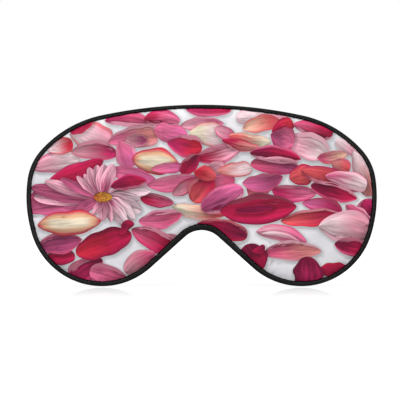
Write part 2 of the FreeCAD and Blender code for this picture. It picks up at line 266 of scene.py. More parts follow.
# ---- Padding --------------------------------------------------------------------------------
# Two layers of fluffy white wadding with a thin black cloth between them. The three are caught
# at the rim, so the pad swells in the middle and thins out to the seam all round.
ARCS = [(280.0, 12.1), (65.5, 36.1), (31.9, 34.1), (76.0, 24.35), (42.7, 115.3)]
NOTCH_RADIUS = 14.2
PAD_INSET = 4.2
PAD_FRONT = 3.1
PAD_BACK = 2.4
PAD_ROUNDING = 2.3
PAD_VOXEL = 0.0022
PAD_SWELL_FRONT = 0.0023
PAD_SWELL_BACK = 0.0015
HELD_BAND = 1.3
CLOTH_FRAMES = 20


def half_steps():
    """Pieces of the outline's right half, from the top middle: start, heading, radius, length."""
    x = z = heading = 0.0
    steps = []
    for radius, degrees in ARCS:
        turn = math.radians(degrees)
        steps.append((x, z, heading, radius, radius * turn))
        x += radius * (math.sin(heading + turn) - math.sin(heading))
        z += radius * (math.cos(heading + turn) - math.cos(heading))
        heading += turn
    back = heading - math.pi
    flank = (x - NOTCH_RADIUS * math.sin(back)) / math.cos(back)
    steps.append((x, z, heading, None, flank))
    x += flank * math.cos(heading)
    z -= flank * math.sin(heading)
    steps.append((x, z, heading, -NOTCH_RADIUS, NOTCH_RADIUS * back))
    return steps


STEPS = half_steps()
HALF_ROUND = sum(step[4] for step in STEPS)


def on_outline(along):
    """Point, and direction inwards, at a distance along the outline clockwise from the top."""
    mirrored = along > HALF_ROUND
    left = 2 * HALF_ROUND - along if mirrored else along
    for x, z, heading, radius, length in STEPS:
        if left <= length + 1e-9:
            break
        left -= length
    if radius is None:
        x += left * math.cos(heading)
        z -= left * math.sin(heading)
    else:
        turn = left / radius
        x += radius * (math.sin(heading + turn) - math.sin(heading))
        z += radius * (math.cos(heading + turn) - math.cos(heading))
        heading += turn
    side = -1 if mirrored else 1
    return np.array((side * x, z)), np.array((side * -math.sin(heading), -math.cos(heading)))


def outline(inset, count):
    """Even points round the outline, in mm across and above the lower edge, moved inwards."""
    pairs = [on_outline(2 * HALF_ROUND * i / count) for i in range(count)]
    points = np.array([p + inward * inset for p, inward in pairs])
    points[:, 1] -= TOP_DROP
    return points


TOP_DROP = 0.0
TOP_DROP = outline(0, 2000)[:, 1].min()


def in_space(points, y):
    """Outline points in mm turned into places in the row frame at depth y."""
    return [Vector((x * MM, y, LOW_Z + h * MM)) for x, h in points]


bpy.ops.object.select_all(action="DESELECT")
rim = outline(PAD_INSET, 260)
bpy.ops.mesh.primitive_circle_add(vertices=len(rim), fill_type="NGON")
pad = bpy.context.object
pad.name = "pad_form"
for vertex, place in zip(pad.data.vertices, in_space(rim, SEAM_Y - PAD_FRONT * MM)):
    vertex.co = place
bpy.ops.object.mode_set(mode="EDIT")
bpy.ops.mesh.select_all(action="SELECT")
depth = (PAD_FRONT + PAD_BACK) * MM
bpy.ops.mesh.extrude_region_move(TRANSFORM_OT_translate={"value": (0, depth, 0)})
bpy.ops.mesh.select_all(action="SELECT")
bpy.ops.mesh.normals_make_consistent(inside=False)
bpy.ops.mesh.select_all(action="DESELECT")
form = bmesh.from_edit_mesh(pad.data)
for edge in form.edges:
    a, b = edge.verts
    edge.select_set(abs(a.co.y - b.co.y) < 1e-5)
form.select_flush(True)
bmesh.update_edit_mesh(pad.data)
bpy.ops.mesh.bevel(offset=PAD_ROUNDING * MM, segments=4)
bpy.ops.object.mode_set(mode="OBJECT")
pad.data.remesh_voxel_size = PAD_VOXEL
bpy.ops.object.voxel_remesh()

rest = np.array([v.co for v in pad.data.vertices])
rim_places = np.array(in_space(outline(0, 900), 0))[:, [0, 2]]
from_rim = np.array([np.hypot(*(rim_places - p[[0, 2]]).T).min() for p in rest])
held = pad.vertex_groups.new(name="held")
held.add([int(i) for i in np.nonzero(from_rim < (PAD_INSET + HELD_BAND) * MM)[0]], 1.0, "REPLACE")
cloth = pad.modifiers.new("Cloth", "CLOTH")
cloth.settings.vertex_group_mass = "held"
cloth.settings.quality = 6
cloth.settings.mass = 0.2
cloth.settings.tension_stiffness = 12
cloth.settings.compression_stiffness = 12
cloth.settings.bending_stiffness = 0.4
cloth.settings.use_pressure = True
cloth.settings.uniform_pressure_force = 4.0
cloth.settings.effector_weights.gravity = 0
cloth.collision_settings.use_collision = False
cloth.point_cache.frame_end = CLOTH_FRAMES
for step in range(1, CLOTH_FRAMES + 1):
    bpy.context.scene.frame_set(step)
bpy.ops.object.modifier_apply(modifier="Cloth")
bpy.context.scene.frame_set(1)
swollen = np.array([v.co for v in pad.data.vertices])
move = swollen - rest
room = np.where(rest[:, 1] < SEAM_Y, PAD_SWELL_FRONT, PAD_SWELL_BACK)
size = np.maximum(np.linalg.norm(move, axis=1), 1e-9)
eased = room * np.tanh(size / room)
move *= (eased / size)[:, None]
for vertex, place in zip(pad.data.vertices, rest + move):
    vertex.co = place
apply(pad, "SMOOTH", iterations=6)
apply(pad, "SUBSURF", levels=1, render_levels=1)
pad_surface = BVHTree.FromObject(pad, bpy.context.evaluated_depsgraph_get())

wadding_white, tree = new_material("wadding_white")
tufts = cloudy(tree, places_in(tree), 420.0, 6.0)
finish(tree, {
    "Base Color": grey(tree, span(tree, tufts, 0.72, 0.95)), "Roughness": 0.95,
    "Normal": bumped(tree, 0.8, 0.0008, tufts), "Sheen Weight": 0.4,
})


def half_of_pad(name, cut_y, keep_front):
    """One side of the swollen pad, cut off at the core."""
    piece = pad.copy()
    piece.data = pad.data.copy()
    piece.name = piece.data.name = name
    bpy.context.collection.objects.link(piece)
    select_only(piece)
    bpy.ops.object.mode_set(mode="EDIT")
    bpy.ops.mesh.select_all(action="SELECT")
    bpy.ops.mesh.bisect(
        plane_co=(0, cut_y, 0), plane_no=(0, 1, 0), use_fill=True,
        clear_outer=keep_front, clear_inner=not keep_front,
    )
    bpy.ops.mesh.select_all(action="SELECT")
    bpy.ops.mesh.quads_convert_to_tris()
    bpy.ops.object.mode_set(mode="OBJECT")
    piece.data.materials.clear()
    piece.data.materials.append(wadding_white)
    bpy.ops.object.shade_smooth()
    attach(piece, "mask")
    return piece


core_low, core_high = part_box("blackout_core")
front_pad = half_of_pad("front_wadding_pad", core_low.y - 0.05 * MM, True)
back_pad = half_of_pad("back_wadding_pad", core_high.y + 0.05 * MM, False)
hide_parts("front_wadding")
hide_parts("back_wadding")
bpy.data.objects.remove(pad)

blackout, tree = new_material("blackout_weave")
threads = cloudy(tree, places_in(tree), 1800.0, 2.0)
finish(tree, {
    "Base Color": grey(tree, span(tree, threads, 0.008, 0.022)), "Roughness": 0.9,
    "Normal": bumped(tree, 0.4, 0.0001, threads),
})


def dress(node_name, material):
    """Gives a CAD node a finished material."""
    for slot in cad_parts[node_name].material_slots:
        slot.material = material


dress("blackout_core", blackout)


# ---- Printed front --------------------------------------------------------------------------
# A polyester satin panel, printed before it is cut with loose petals and one daisy on a pale
# ground. Its raw edge is caught under the binding and it is stretched over the front wadding.
CLOTH_EDGE = 1.0
CLOTH_THICK = 0.3 * MM
GRID_PITCH = 2.3
RIM_RINGS = (2.2, 3.2, 4.2, 5.4, 7.0)
FLANGE_LIFT = 0.55
PUCKER = 0.35
GROWTH = (1.04, 1.13)
SHADOW_REACH = 1.9
SHADOW_SHIFT = np.array((0.5, -0.9))

CRIMSON, MAGENTA, DARK = (181, 23, 71), (187, 37, 94), (130, 18, 61)
PINK, ROSE, BLUSH, PALE = (220, 105, 145), (200, 80, 117), (232, 158, 179), (236, 206, 212)
CORAL, SALMON, PEACH, CREAM = (220, 84, 92), (218, 132, 130), (238, 182, 160), (240, 226, 200)
RED, MAUVE, DUSTY, ORCHID = (200, 36, 62), (160, 64, 106), (200, 134, 149), (217, 101, 153)
GOLD, AMBER, UMBER = (206, 146, 52), (184, 92, 44), (104, 52, 38)

# Sharpness of a petal's stem end and of its tip: 0.5 is round, 1 is a point.
SHAPES = {
    "leaf": (0.72, 0.72), "oval": (0.5, 0.5), "drop": (0.75, 0.42), "pod": (0.55, 0.62),
    "fan": (0.62, 0.28), "ray": (0.6, 0.5),
}

# Petals from the lowest to the topmost: place across and above the lower edge, length, width,
# angle, shape, bend, then the colours of stem end, tip and rim, and how deep the fold's shade is.
PETALS = [
    (4, 104, 26, 11, -2, "oval", 1, MAGENTA, CRIMSON, PINK, 0.3),
    (-65, 86, 24, 17, -20, "fan", 1, PALE, BLUSH, CORAL, 0.2),
    (-85, 71.5, 28, 12, 10, "fan", 1, BLUSH, PALE, ROSE, 0.35),
    (-70, 93, 14, 6, 30, "oval", 0, CRIMSON, CRIMSON, RED, 0.1),
    (-82.5, 81.5, 15, 9, 16, "drop", 0, PALE, RED, CORAL, 0.2),
    (-62, 77.5, 27, 10, -3, "leaf", 2, DUSTY, MAGENTA, ROSE, 0.45),
    (-73, 67, 33, 10, 22, "pod", -1, CRIMSON, CRIMSON, MAGENTA, 0.35),
    (-43, 96, 26, 9, -3, "leaf", 2, MAGENTA, ROSE, PINK, 0.55),
    (-23, 97, 20, 9, -4, "oval", 1, CRIMSON, PINK, MAGENTA, 0.5),
    (0, 94, 25, 7, 4, "leaf", 1, BLUSH, PINK, ROSE, 0.45),
    (-40, 86, 28, 12, 8, "fan", 1, PINK, SALMON, DUSTY, 0.4),
    (-38, 85, 12, 7, 0, "oval", 0, DUSTY, MAUVE, DUSTY, 0.3),
    (-44, 77, 16, 12, -62, "fan", 0, PINK, ORCHID, BLUSH, 0.2),
    (-18, 90, 19, 10, -10, "oval", -1, PINK, ORCHID, PINK, 0.25),
    (3, 88, 20, 13, -8, "fan", 1, CREAM, PALE, SALMON, 0.2),
    (14, 89, 14, 7, -28, "leaf", 0, BLUSH, PINK, ROSE, 0.2),
    (-10, 82, 20, 12, -10, "drop", 0, MAGENTA, RED, ROSE, 0.45),
    (10, 78, 28, 10, 14, "leaf", -1, CRIMSON, BLUSH, PINK, 0.4),
    (28, 86, 24, 9, -8, "leaf", -2, CORAL, CREAM, PEACH, 0.3),
    (23, 83, 22, 6, -12, "leaf", -1, CRIMSON, SALMON, CRIMSON, 0.5),
    (28, 98, 15, 9, 0, "oval", 1, PALE, PALE, BLUSH, 0.2),
    (40, 98, 20, 7, 4, "oval", 1, PALE, BLUSH, PALE, 0.2),
    (35, 94, 22, 9, 12, "leaf", 1, PEACH, CORAL, CORAL, 0.3),
    (47, 93, 13, 8, 26, "fan", 0, CRIMSON, RED, CRIMSON, 0.3),
    (65, 92, 23, 10, -12, "fan", 0, ROSE, CRIMSON, MAGENTA, 0.6),
    (84, 81, 14, 7, -35, "oval", 0, PALE, BLUSH, PALE, 0.15),
    (62, 80, 26, 14, -18, "oval", 2, BLUSH, PALE, BLUSH, 0.45),
    (47, 86, 14, 13, -20, "drop", 0, MAUVE, PINK, MAGENTA, 0.35),
    (76, 76, 17, 7, 8, "leaf", -1, ROSE, PEACH, CORAL, 0.4),
    (81, 70, 11, 9, -20, "drop", 0, SALMON, CORAL, ROSE, 0.3),
    (94, 66, 27, 12, -66, "fan", 1, PALE, SALMON, DUSTY, 0.35),
    (-27, 73, 26, 14, -6, "leaf", 0, CREAM, CREAM, RED, 0.2),
    (-40, 64, 28, 8, -13, "pod", 1, PINK, ORCHID, PINK, 0.3),
    (-19, 69, 20, 6, 4, "leaf", 0, PINK, ORCHID, MAGENTA, 0.4),
    (-7, 71, 14, 8, 48, "oval", 0, CRIMSON, DARK, CRIMSON, 0.4),
    (12, 61, 14, 10, -10, "fan", 0, PINK, ROSE, PINK, 0.25),
    (10, 69, 12, 7, -10, "oval", 0, DUSTY, BLUSH, DUSTY, 0.2),
    (19, 68, 20, 8, 4, "drop", 0, SALMON, PALE, CORAL, 0.2),
    (43, 70, 28, 10, -6, "pod", 1, ROSE, MAUVE, MAGENTA, 0.5),
    (33, 55, 15, 12, 92, "fan", 0, SALMON, CORAL, ROSE, 0.3),
    (35.5, 62, 23, 10, 9, "leaf", -2, ORCHID, MAUVE, ROSE, 0.35),
    (43, 76, 29, 9, -7, "leaf", 1, DARK, CRIMSON, PINK, 0.5),
    (46, 73, 20, 3, -6, "leaf", 1, BLUSH, DUSTY, PINK, 0.5),
    (-16, 61, 31, 9, 8, "leaf", -1, PINK, PINK, ROSE, 0.4),
    (-9, 58, 18, 7, 30, "leaf", 0, DUSTY, ROSE, CRIMSON, 0.3),
    (0, 57, 18, 13, 55, "oval", 0, CORAL, CRIMSON, RED, 0.4),
    (2, 65, 13, 8, -12, "leaf", 1, RED, CORAL, CORAL, 0.3),
    (-2, 44, 30, 8, -10, "leaf", -1, CREAM, CORAL, PEACH, 0.4),
    (12, 51, 26, 13, 26, "oval", 0, MAUVE, ORCHID, PINK, 0.5),
    (11, 46, 10, 3, 12, "leaf", 0, DARK, MAUVE, MAUVE, 0.2),
    (-26, 50, 19, 7, -9, "pod", 0, CRIMSON, ROSE, DARK, 0.4),
    (54, 55, 25, 9, -3, "pod", -1, MAGENTA, PINK, MAGENTA, 0.4),
    (59, 65, 16, 11, 14, "leaf", 0, CORAL, CORAL, CRIMSON, 0.3),
    (76, 62, 36, 10, -18, "pod", 1, CORAL, CRIMSON, MAGENTA, 0.45),
    (84, 61.5, 24, 9, -14, "fan", 1, PINK, PALE, BLUSH, 0.4),
    (77, 55, 27, 9, -16, "pod", 0, DARK, CRIMSON, ROSE, 0.5),
    (70, 46, 23, 9, -13, "drop", 1, ORCHID, MAGENTA, CRIMSON, 0.35),
    (64, 40, 35, 9, 6, "leaf", 0, CORAL, CRIMSON, RED, 0.55),
    (97, 45, 12, 18, -70, "fan", 0, MAGENTA, DARK, PINK, 0.4),
    (92, 41, 20, 8, -38, "leaf", 0, ROSE, MAUVE, BLUSH, 0.4),
    (83, 33, 29, 18, -8, "fan", 2, PALE, DUSTY, BLUSH, 0.45),
    (88, 23, 21, 10, -10, "leaf", 0, DARK, CRIMSON, ROSE, 0.4),
    (33, 45, 43, 16, 4, "leaf", 0, CRIMSON, CRIMSON, DARK, 0.35),
    (31, 45, 22, 5, 6, "leaf", 0, DARK, DARK, CRIMSON, 0.2),
    (46.5, 29, 29, 9, -12, "leaf", 2, BLUSH, PINK, ROSE, 0.45),
    (46, 28.5, 22, 3, -12, "leaf", 2, PALE, BLUSH, ROSE, 0.3),
    (53, 20, 32, 10, 2, "pod", 1, ROSE, SALMON, DUSTY, 0.5),
    (12, 33, 29, 10, -14, "drop", 1, CRIMSON, DARK, RED, 0.4),
    (30, 16.5, 17, 13, -58, "oval", 1, DARK, CRIMSON, DARK, 0.3),
    (33, 22, 8, 4, 20, "drop", -1, CRIMSON, DARK, CRIMSON, 0.2),
    (76, 10, 18, 7, 8, "leaf", 0, CRIMSON, CRIMSON, RED, 0.3),
    (62, 7, 20, 15, -86, "oval", 0, DARK, MAGENTA, DARK, 0.3),
    (-24, 40, 25, 10, 10, "leaf", -1, PINK, ROSE, PINK, 0.45),
    (-22, 24, 18, 9, 20, "fan", 0, DUSTY, BLUSH, ROSE, 0.4),
    (-29, 28, 25, 12, -24, "fan", 0, ROSE, CRIMSON, MAGENTA, 0.5),
    (-36, 14, 20, 12, 30, "oval", 0, DUSTY, ROSE, DUSTY, 0.4),
    (-67, 10, 21, 13, 212, "fan", 0, DARK, MAGENTA, ROSE, 0.4),
    (-54, 6.5, 22, 11, 168, "drop", 0, ROSE, PINK, ROSE, 0.4),
    (-83, 17, 18, 8, 4, "drop", 0, CRIMSON, CRIMSON, DARK, 0.35),
    (-83, 25, 26, 11, 10, "leaf", 0, MAUVE, MAUVE, ROSE, 0.4),
    (-96, 48, 14, 12, 40, "fan", 0, PINK, MAGENTA, PINK, 0.3),
]
DAISY = (-57.5, 52.0)
DAISY_DISC = (10.5, 5.6)
# Rays of the daisy: angle, length and width.
DAISY_RAYS = [
    (198, 34, 9), (190, 41, 9), (180, 38, 8), (172, 40, 9), (164, 33, 6), (155, 25, 5),
    (140, 18, 4), (208, 20, 6), (128, 16, 4), (115, 18, 5.5), (100, 18, 5), (88, 18, 6.5),
    (73, 19, 7), (16, 25, 6), (8, 26, 6), (-6, 20, 7),
    (-20, 22, 8), (-36, 21, 8), (-52, 20, 8), (-72, 14, 4), (-92, 13, 5), (-118, 11, 4),
]
# Petals that lie over the daisy's outer rays.
OVER_DAISY = [
    (-42.5, 59.8, 20.5, 7.5, 10, "leaf", 1, DARK, CRIMSON, MAGENTA, 0.4),
    (-77, 37, 36, 13, 4, "leaf", 0, CREAM, CREAM, RED, 0.25),
    (-43, 35, 8, 5, 30, "oval", 1, DARK, CRIMSON, DARK, 0.2),
    (-57, 25, 33, 14, 20, "oval", 0, RED, CRIMSON, DARK, 0.3),
    (-45.5, 33, 7, 3.4, 58, "leaf", 0, CRIMSON, DARK, CRIMSON, 0.2),
]
LIGHT_RAY, DEEP_RAY, MILKY_RAY = (234, 168, 188), (192, 88, 128), (238, 206, 216)


def daisy():
    """The daisy's rays and its disc of small florets, as petals."""
    draw = random.Random(5)
    made = []
    for number, (angle, length, width) in enumerate(DAISY_RAYS):
        turn = math.radians(angle)
        reach = length / 2 + 1.5
        x, h = DAISY[0] + reach * math.cos(turn), DAISY[1] + reach * math.sin(turn) * 0.92
        if math.cos(turn) < -0.8:
            tip = (LIGHT_RAY, DEEP_RAY)[number % 2]
        else:
            tip = MILKY_RAY if -60 < angle < 10 else LIGHT_RAY
        made.append((x, h, length, width, angle, "ray", 0.6, DEEP_RAY, tip, tip, 0.3))
    made.append((*DAISY, *DAISY_DISC, 0, "oval", 0, AMBER, GOLD, UMBER, 0.2))
    for number in range(34):
        turn, out = draw.uniform(0, 2 * math.pi), draw.uniform(0.1, 0.95) ** 0.5
        x = DAISY[0] + out * DAISY_DISC[0] / 2 * math.cos(turn)
        h = DAISY[1] + out * DAISY_DISC[1] / 2 * math.sin(turn)
        colour = (GOLD, AMBER, UMBER, GOLD)[number % 4]
        made.append((x, h, 1.3, 0.7, 60 + 60 * math.cos(turn), "oval", 0, colour, GOLD, AMBER, 0.1))
    return made


class Petal:
    """One printed petal: its outline, and where a point lies along and across it."""

    def __init__(self, row, seed):
        self.x, self.h, self.length, self.width, angle, shape, self.bend = row[:7]
        self.length *= GROWTH[0]
        self.width *= GROWTH[1]
        self.colours, self.fold = row[7:10], row[10]
        self.halo = 1.0 if row[7] == row[8] == CREAM else 0.0
        self.veined = 1.0 if shape == "ray" else 0.35
        self.seed = seed
        self.turn = math.radians(angle)
        self.sharp = SHAPES[shape]
        draw = random.Random(seed * 7 + 1)
        self.waves = [(draw.uniform(3, 9), draw.uniform(0, 6.3), draw.uniform(0.02, 0.07)) for i in range(4)]
        count = max(6, int(self.length / 1.4) + 5)
        ends = 0.5 - 0.5 * np.cos(np.linspace(0, math.pi, count))
        upper = self.place(ends, np.ones(count))
        lower = self.place(ends[-2:0:-1], -np.ones(count - 2))
        self.points = np.concatenate([upper, lower])[::-1]

    def reach(self, s, side):
        """Half width at s, from 0 at the stem to 1 at the tip, on one side."""
        a, b = self.sharp
        peak = a / (a + b)
        form = (np.clip(s, 0, 1) ** a * np.clip(1 - s, 0, 1) ** b) / (peak ** a * (1 - peak) ** b)
        wave = np.ones_like(s)
        for number, (rate, start, size) in enumerate(self.waves):
            on = (side > 0) if number % 2 else (side <= 0)
            wave = wave + np.where(on, size * np.sin(rate * s * 2 + start), 0)
        return self.width / 2 * form * wave

    def place(self, s, v):
        along = (s - 0.5) * self.length
        across = self.bend * 4 * s * (1 - s) + v * self.reach(s, v)
        cos, sin = math.cos(self.turn), math.sin(self.turn)
        return np.stack([self.x + along * cos - across * sin, self.h + along * sin + across * cos], 1)

    def find(self, points):
        """(s, v) of points: how far along the petal, and across it from -1 to 1."""
        cos, sin = math.cos(self.turn), math.sin(self.turn)
        d = points - np.array((self.x, self.h))
        s = (d[:, 0] * cos + d[:, 1] * sin) / self.length + 0.5
        across = -d[:, 0] * sin + d[:, 1] * cos - self.bend * 4 * s * (1 - s)
        v = across / np.maximum(self.reach(s, across), 0.15)
        return np.clip(s, 0, 1), np.clip(v, -1, 1)

    def shade_on(self, points):
        """Soft shadow that the petal throws on points beside it, from 0 to 1."""
        low, high = self.points.min(0) - 3, self.points.max(0) + 3
        near = np.nonzero(((points > low) & (points < high)).all(1))[0]
        shade = np.zeros(len(points))
        if not len(near):
            return shade
        p = points[near] - SHADOW_SHIFT
        a, b = self.points, np.roll(self.points, -1, 0)
        run = b - a
        to = p[:, None] - a[None]
        t = np.clip((to * run).sum(2) / np.maximum((run * run).sum(1), 1e-9), 0, 1)
        distance = np.linalg.norm(to - t[..., None] * run, axis=2).min(1)
        crosses = (a[:, 1] > p[:, None, 1]) != (b[:, 1] > p[:, None, 1])
        flat = np.where(np.abs(run[:, 1]) < 1e-9, 1e-9, run[:, 1])
        at_x = a[:, 0] + (p[:, None, 1] - a[:, 1]) / flat * run[:, 0]
        inside = (crosses & (p[:, None, 0] < at_x)).sum(1) % 2 == 1
        shade[near] = np.where(inside, 1.0, np.clip(1 - distance / SHADOW_REACH, 0, 1))
        return shade


def cut_cloth(petals):
    """Flat cloth cut to the outline and split along every petal's edge: points, faces, tops."""
    border = outline(CLOTH_EDGE, 420)[::-1]
    points = [tuple(p) for p in border]
    faces = [list(range(len(border)))]
    edges = []
    for petal in petals:
        first = len(points)
        points += [tuple(p) for p in petal.points]
        faces.append(list(range(first, len(points))))
    for petal in petals:
        if petal.length < 4:
            continue
        centre = np.array((petal.x, petal.h))
        away = petal.points - centre
        grown = petal.points + away / np.linalg.norm(away, axis=1)[:, None] * SHADOW_REACH + SHADOW_SHIFT
        first = len(points)
        points += [tuple(p) for p in grown[::2]]
        count = len(points) - first
        edges += [(first + i, first + (i + 1) % count) for i in range(count)]
    for inset in RIM_RINGS:
        points += [tuple(p) for p in outline(inset, 400)]
    high_x, high_h = border.max(0)
    row = 0
    h = 0.0
    while h < high_h:
        start = -high_x + (GRID_PITCH / 2 if row % 2 else 0)
        points += [(x, h) for x in np.arange(start, high_x, GRID_PITCH)]
        h += GRID_PITCH * 0.866
        row += 1
    cut = delaunay_2d_cdt([Vector(p) for p in points], edges, faces, 0, 1e-4, True)
    flat = np.array([tuple(p) for p in cut[0]])
    kept = [(f, max(owners)) for f, owners in zip(cut[2], cut[5]) if 0 in owners]
    used, numbers = np.unique([f for f, top in kept], return_inverse=True)
    return flat[used], numbers.reshape(-1, 3).tolist(), np.array([top for f, top in kept])


def lay_on_pad(flat, faces, side):
    """Depth of each point of a cloth stretched over the pad: side -1 is the front, 1 the back."""
    flange = FLANGE_LIFT * MM
    rise = np.full(len(flat), flange)
    rim_points = outline(0, 900)
    inset = np.zeros(len(flat))
    along = np.zeros(len(flat))
    for i, (x, h) in enumerate(flat):
        away = np.hypot(*(rim_points - (x, h)).T)
        inset[i], along[i] = away.min(), away.argmin() * 2 * HALF_ROUND / 900
        hit = pad_surface.ray_cast(Vector((x * MM, side * 0.1, LOW_Z + h * MM)), Vector((0, -side, 0)))
        if hit[0] is not None:
            rise[i] = max(flange, side * (hit[0].y - SEAM_Y) + CLOTH_THICK + 0.08 * MM)
    least = rise.copy()
    ends = np.array([(f[i], f[i - 1]) for f in faces for i in range(3)])
    count = np.maximum(np.bincount(ends.ravel(), minlength=len(flat)), 1)
    free = inset > 2.0
    for step in range(14):
        total = np.bincount(ends[:, 0], rise[ends[:, 1]], len(flat))
        total += np.bincount(ends[:, 1], rise[ends[:, 0]], len(flat))
        rise = np.where(free, np.maximum(total / count, least), flange)
    pucker = np.array([noise.noise((a / 5.5, i / 9.0, side * 7.0)) for a, i in zip(along, inset)])
    fade = np.exp(-np.maximum(inset - 3.5, 0) / 4.5) * np.clip((inset - 2.6) / 2, 0, 1)
    rise += PUCKER * MM * fade * (0.5 + pucker)
    return SEAM_Y + side * rise


def cloth_object(name, flat, faces, side):
    depths = lay_on_pad(flat, faces, side)
    places = [(x * MM, y, LOW_Z + h * MM) for (x, h), y in zip(flat, depths)]
    return new_piece(name, places, faces if side < 0 else [f[::-1] for f in faces])


def finish_cloth(piece):
    """Gives a cloth its thickness, inwards from its outer face."""
    select_only(piece)
    apply(piece, "SOLIDIFY", thickness=CLOTH_THICK, offset=-1)


def linear(colour):
    """Display colour from 0 to 255 as linear light."""
    part = np.array(colour, float) / 255
    return np.where(part <= 0.04045, part / 12.92, ((part + 0.055) / 1.055) ** 2.4)


petals = [Petal(row, seed) for seed, row in enumerate(PETALS + daisy() + OVER_DAISY)]
flat, faces, tops = cut_cloth(petals)
front = cloth_object("front_panel_satin", flat, faces, -1)
corner_points = flat[np.array(faces).ravel()]
corner_tops = np.repeat(tops, 3)
place_values = np.zeros((len(corner_points), 3))
tone_values = np.zeros((len(corner_points), 4))
colour_values = [np.ones((len(corner_points), 4)) for part in range(3)]
for number, petal in enumerate(petals, 1):
    own = corner_tops == number
    s, v = petal.find(corner_points[own])
    place_values[own] = np.stack([s, v, np.full(len(s), petal.seed * 0.37)], 1)
    tone_values[own, 0] = petal.fold
    tone_values[own, 2] = 1
    tone_values[own, 3] = petal.veined
    for values, colour in zip(colour_values, petal.colours):
        values[own, :3] = linear(colour)
    colour_values[2][own, 3] = petal.halo
    under = corner_tops < number
    shade = petal.shade_on(corner_points) * under * min(1.0, petal.width / 5)
    tone_values[:, 1] = np.maximum(tone_values[:, 1], shade)
place_layer = front.data.attributes.new("petal_place", "FLOAT_VECTOR", "CORNER")
place_layer.data.foreach_set("vector", place_values.ravel())
for name, values in (
    ("petal_stem", colour_values[0]), ("petal_tip", colour_values[1]),
    ("petal_rim", colour_values[2]), ("petal_tone", tone_values),
):
    layer = front.data.attributes.new(name, "FLOAT_COLOR", "CORNER")
    layer.data.foreach_set("color", values.ravel())
finish_cloth(front)


GOLDEN = (*linear((232, 176, 96)), 1)
LIP_TINT = (*linear((240, 196, 208)), 1)
GROUND_DIM, GROUND_LIT = (*linear((225, 224, 229)), 1), (*linear((248, 245, 249)), 1)
satin, tree = new_material("petal_satin")
place = node(tree, "ShaderNodeAttribute", attribute_name="petal_place").outputs["Vector"]
s, v, seed = parts_of(tree, place)
tone = node(tree, "ShaderNodeAttribute", attribute_name="petal_tone").outputs
fold, shadow, on_petal = node(tree, "ShaderNodeSeparateColor", {0: tone["Color"]}).outputs
veined = tone["Alpha"]
stem, tip, rim_tint = (
    node(tree, "ShaderNodeAttribute", attribute_name=name).outputs
    for name in ("petal_stem", "petal_tip", "petal_rim")
)
halo = rim_tint["Alpha"]
where = places_in(tree)
shift = times(tree, seed, 13.7)


def along_petal(rate_along, rate_across):
    """Places that run along each petal and start elsewhere on every one."""
    along = plus(tree, times(tree, s, rate_along), shift)
    return node(tree, "ShaderNodeCombineXYZ", {0: along, 1: times(tree, v, rate_across), 2: shift}).outputs[0]


streaks = cloudy(tree, along_petal(1.8, 3.2), 1.0, 3.0)
veins = cloudy(tree, along_petal(1.6, 9.0), 1.0, 2.0)
clouds = cloudy(tree, where, 34.0, 4.0)
loose = minus(tree, streaks, 0.5)
# Stem colour runs into tip colour, and the rim's colour lies round both.
slide = plus(tree, s, times(tree, loose, 0.7))
petal = blend_colours(tree, ramp(tree, slide, 0.15, 0.85), stem["Color"], tip["Color"])
out = calc(tree, "ABSOLUTE", v)
ends = calc(tree, "POWER", calc(tree, "ABSOLUTE", calc(tree, "MULTIPLY_ADD", s, 2.0, -1.0)), 2.0)
out_all = plus(tree, calc(tree, "MAXIMUM", out, ends), times(tree, loose, 0.5))
narrow_rim = times(tree, ramp(tree, out, 0.55, 1.0), plus(tree, 0.35, streaks))
wide_rim = ramp(tree, out_all, 0.15, 1.05)
rim_share = node(tree, "ShaderNodeMix", {0: halo, 2: narrow_rim, 3: wide_rim}).outputs[0]
petal = blend_colours(tree, rim_share, petal, rim_tint["Color"])
gold_ring = times(tree, ramp(tree, out_all, 0.3, 0.55), ramp(tree, out_all, 0.55, 0.8, 1.0, 0.0))
petal = blend_colours(tree, times(tree, gold_ring, halo, 0.4), petal, GOLDEN)
# Body is the petal's brightness: a dark side, veins, streaks, a crease and a darker edge.
turned = times(tree, v, calc(tree, "SIGN", sine_of(tree, seed, 31.0)))
body = plus(tree, 1.0, times(tree, fold, ramp(tree, turned, -0.8, 0.8, 0.75, -0.75)))
vein_depth = times(tree, ramp(tree, veins, 0.34, 0.5, 0.55, 0.0), veined)
body = minus(tree, body, vein_depth)
body = times(tree, body, ramp(tree, streaks, 0.3, 0.7, 0.74, 1.18), ramp(tree, clouds, 0.3, 0.7, 0.86, 1.1))
crease = calc(tree, "ABSOLUTE", minus(tree, v, times(tree, loose, 1.2)))
body = minus(tree, body, times(tree, ramp(tree, crease, 0.0, 0.16, 0.5, 0.0), fold))
body = times(tree, body, ramp(tree, out, 0.88, 1.0, 1.0, 0.76))
# A deeply folded petal shows a pale lip along one side, with a shadow under it.
lip = minus(tree, turned, calc(tree, "MULTIPLY_ADD", loose, 1.6, 0.62))
lip_share = times(tree, ramp(tree, lip, 0.0, 0.05), ramp(tree, fold, 0.3, 0.5, 0.0, 0.75))
lip_share = times(tree, lip_share, ramp(tree, s, 0.0, 0.25))
under_lip = times(tree, ramp(tree, lip, -0.22, 0.0), ramp(tree, lip, 0.0, 0.03, 1.0, 0.0))
body = minus(tree, body, times(tree, under_lip, ramp(tree, fold, 0.3, 0.5, 0.0, 0.22)))
lip_colour = blend_colours(tree, 0.45, rim_tint["Color"], LIP_TINT)
petal = blend_colours(tree, 1.0, petal, grey(tree, body), "MULTIPLY")
petal = blend_colours(tree, lip_share, petal, lip_colour)
bare = blend_colours(tree, ramp(tree, clouds, 0.32, 0.68), GROUND_DIM, GROUND_LIT)
colour = blend_colours(tree, on_petal, bare, petal)
light = minus(tree, 1.0, times(tree, shadow, 0.42))
colour = blend_colours(tree, 1.0, colour, grey(tree, light), "MULTIPLY")
x, y, z = parts_of(tree, where)
weave = times(tree, sine_of(tree, x, 14000.0), sine_of(tree, z, 9000.0))
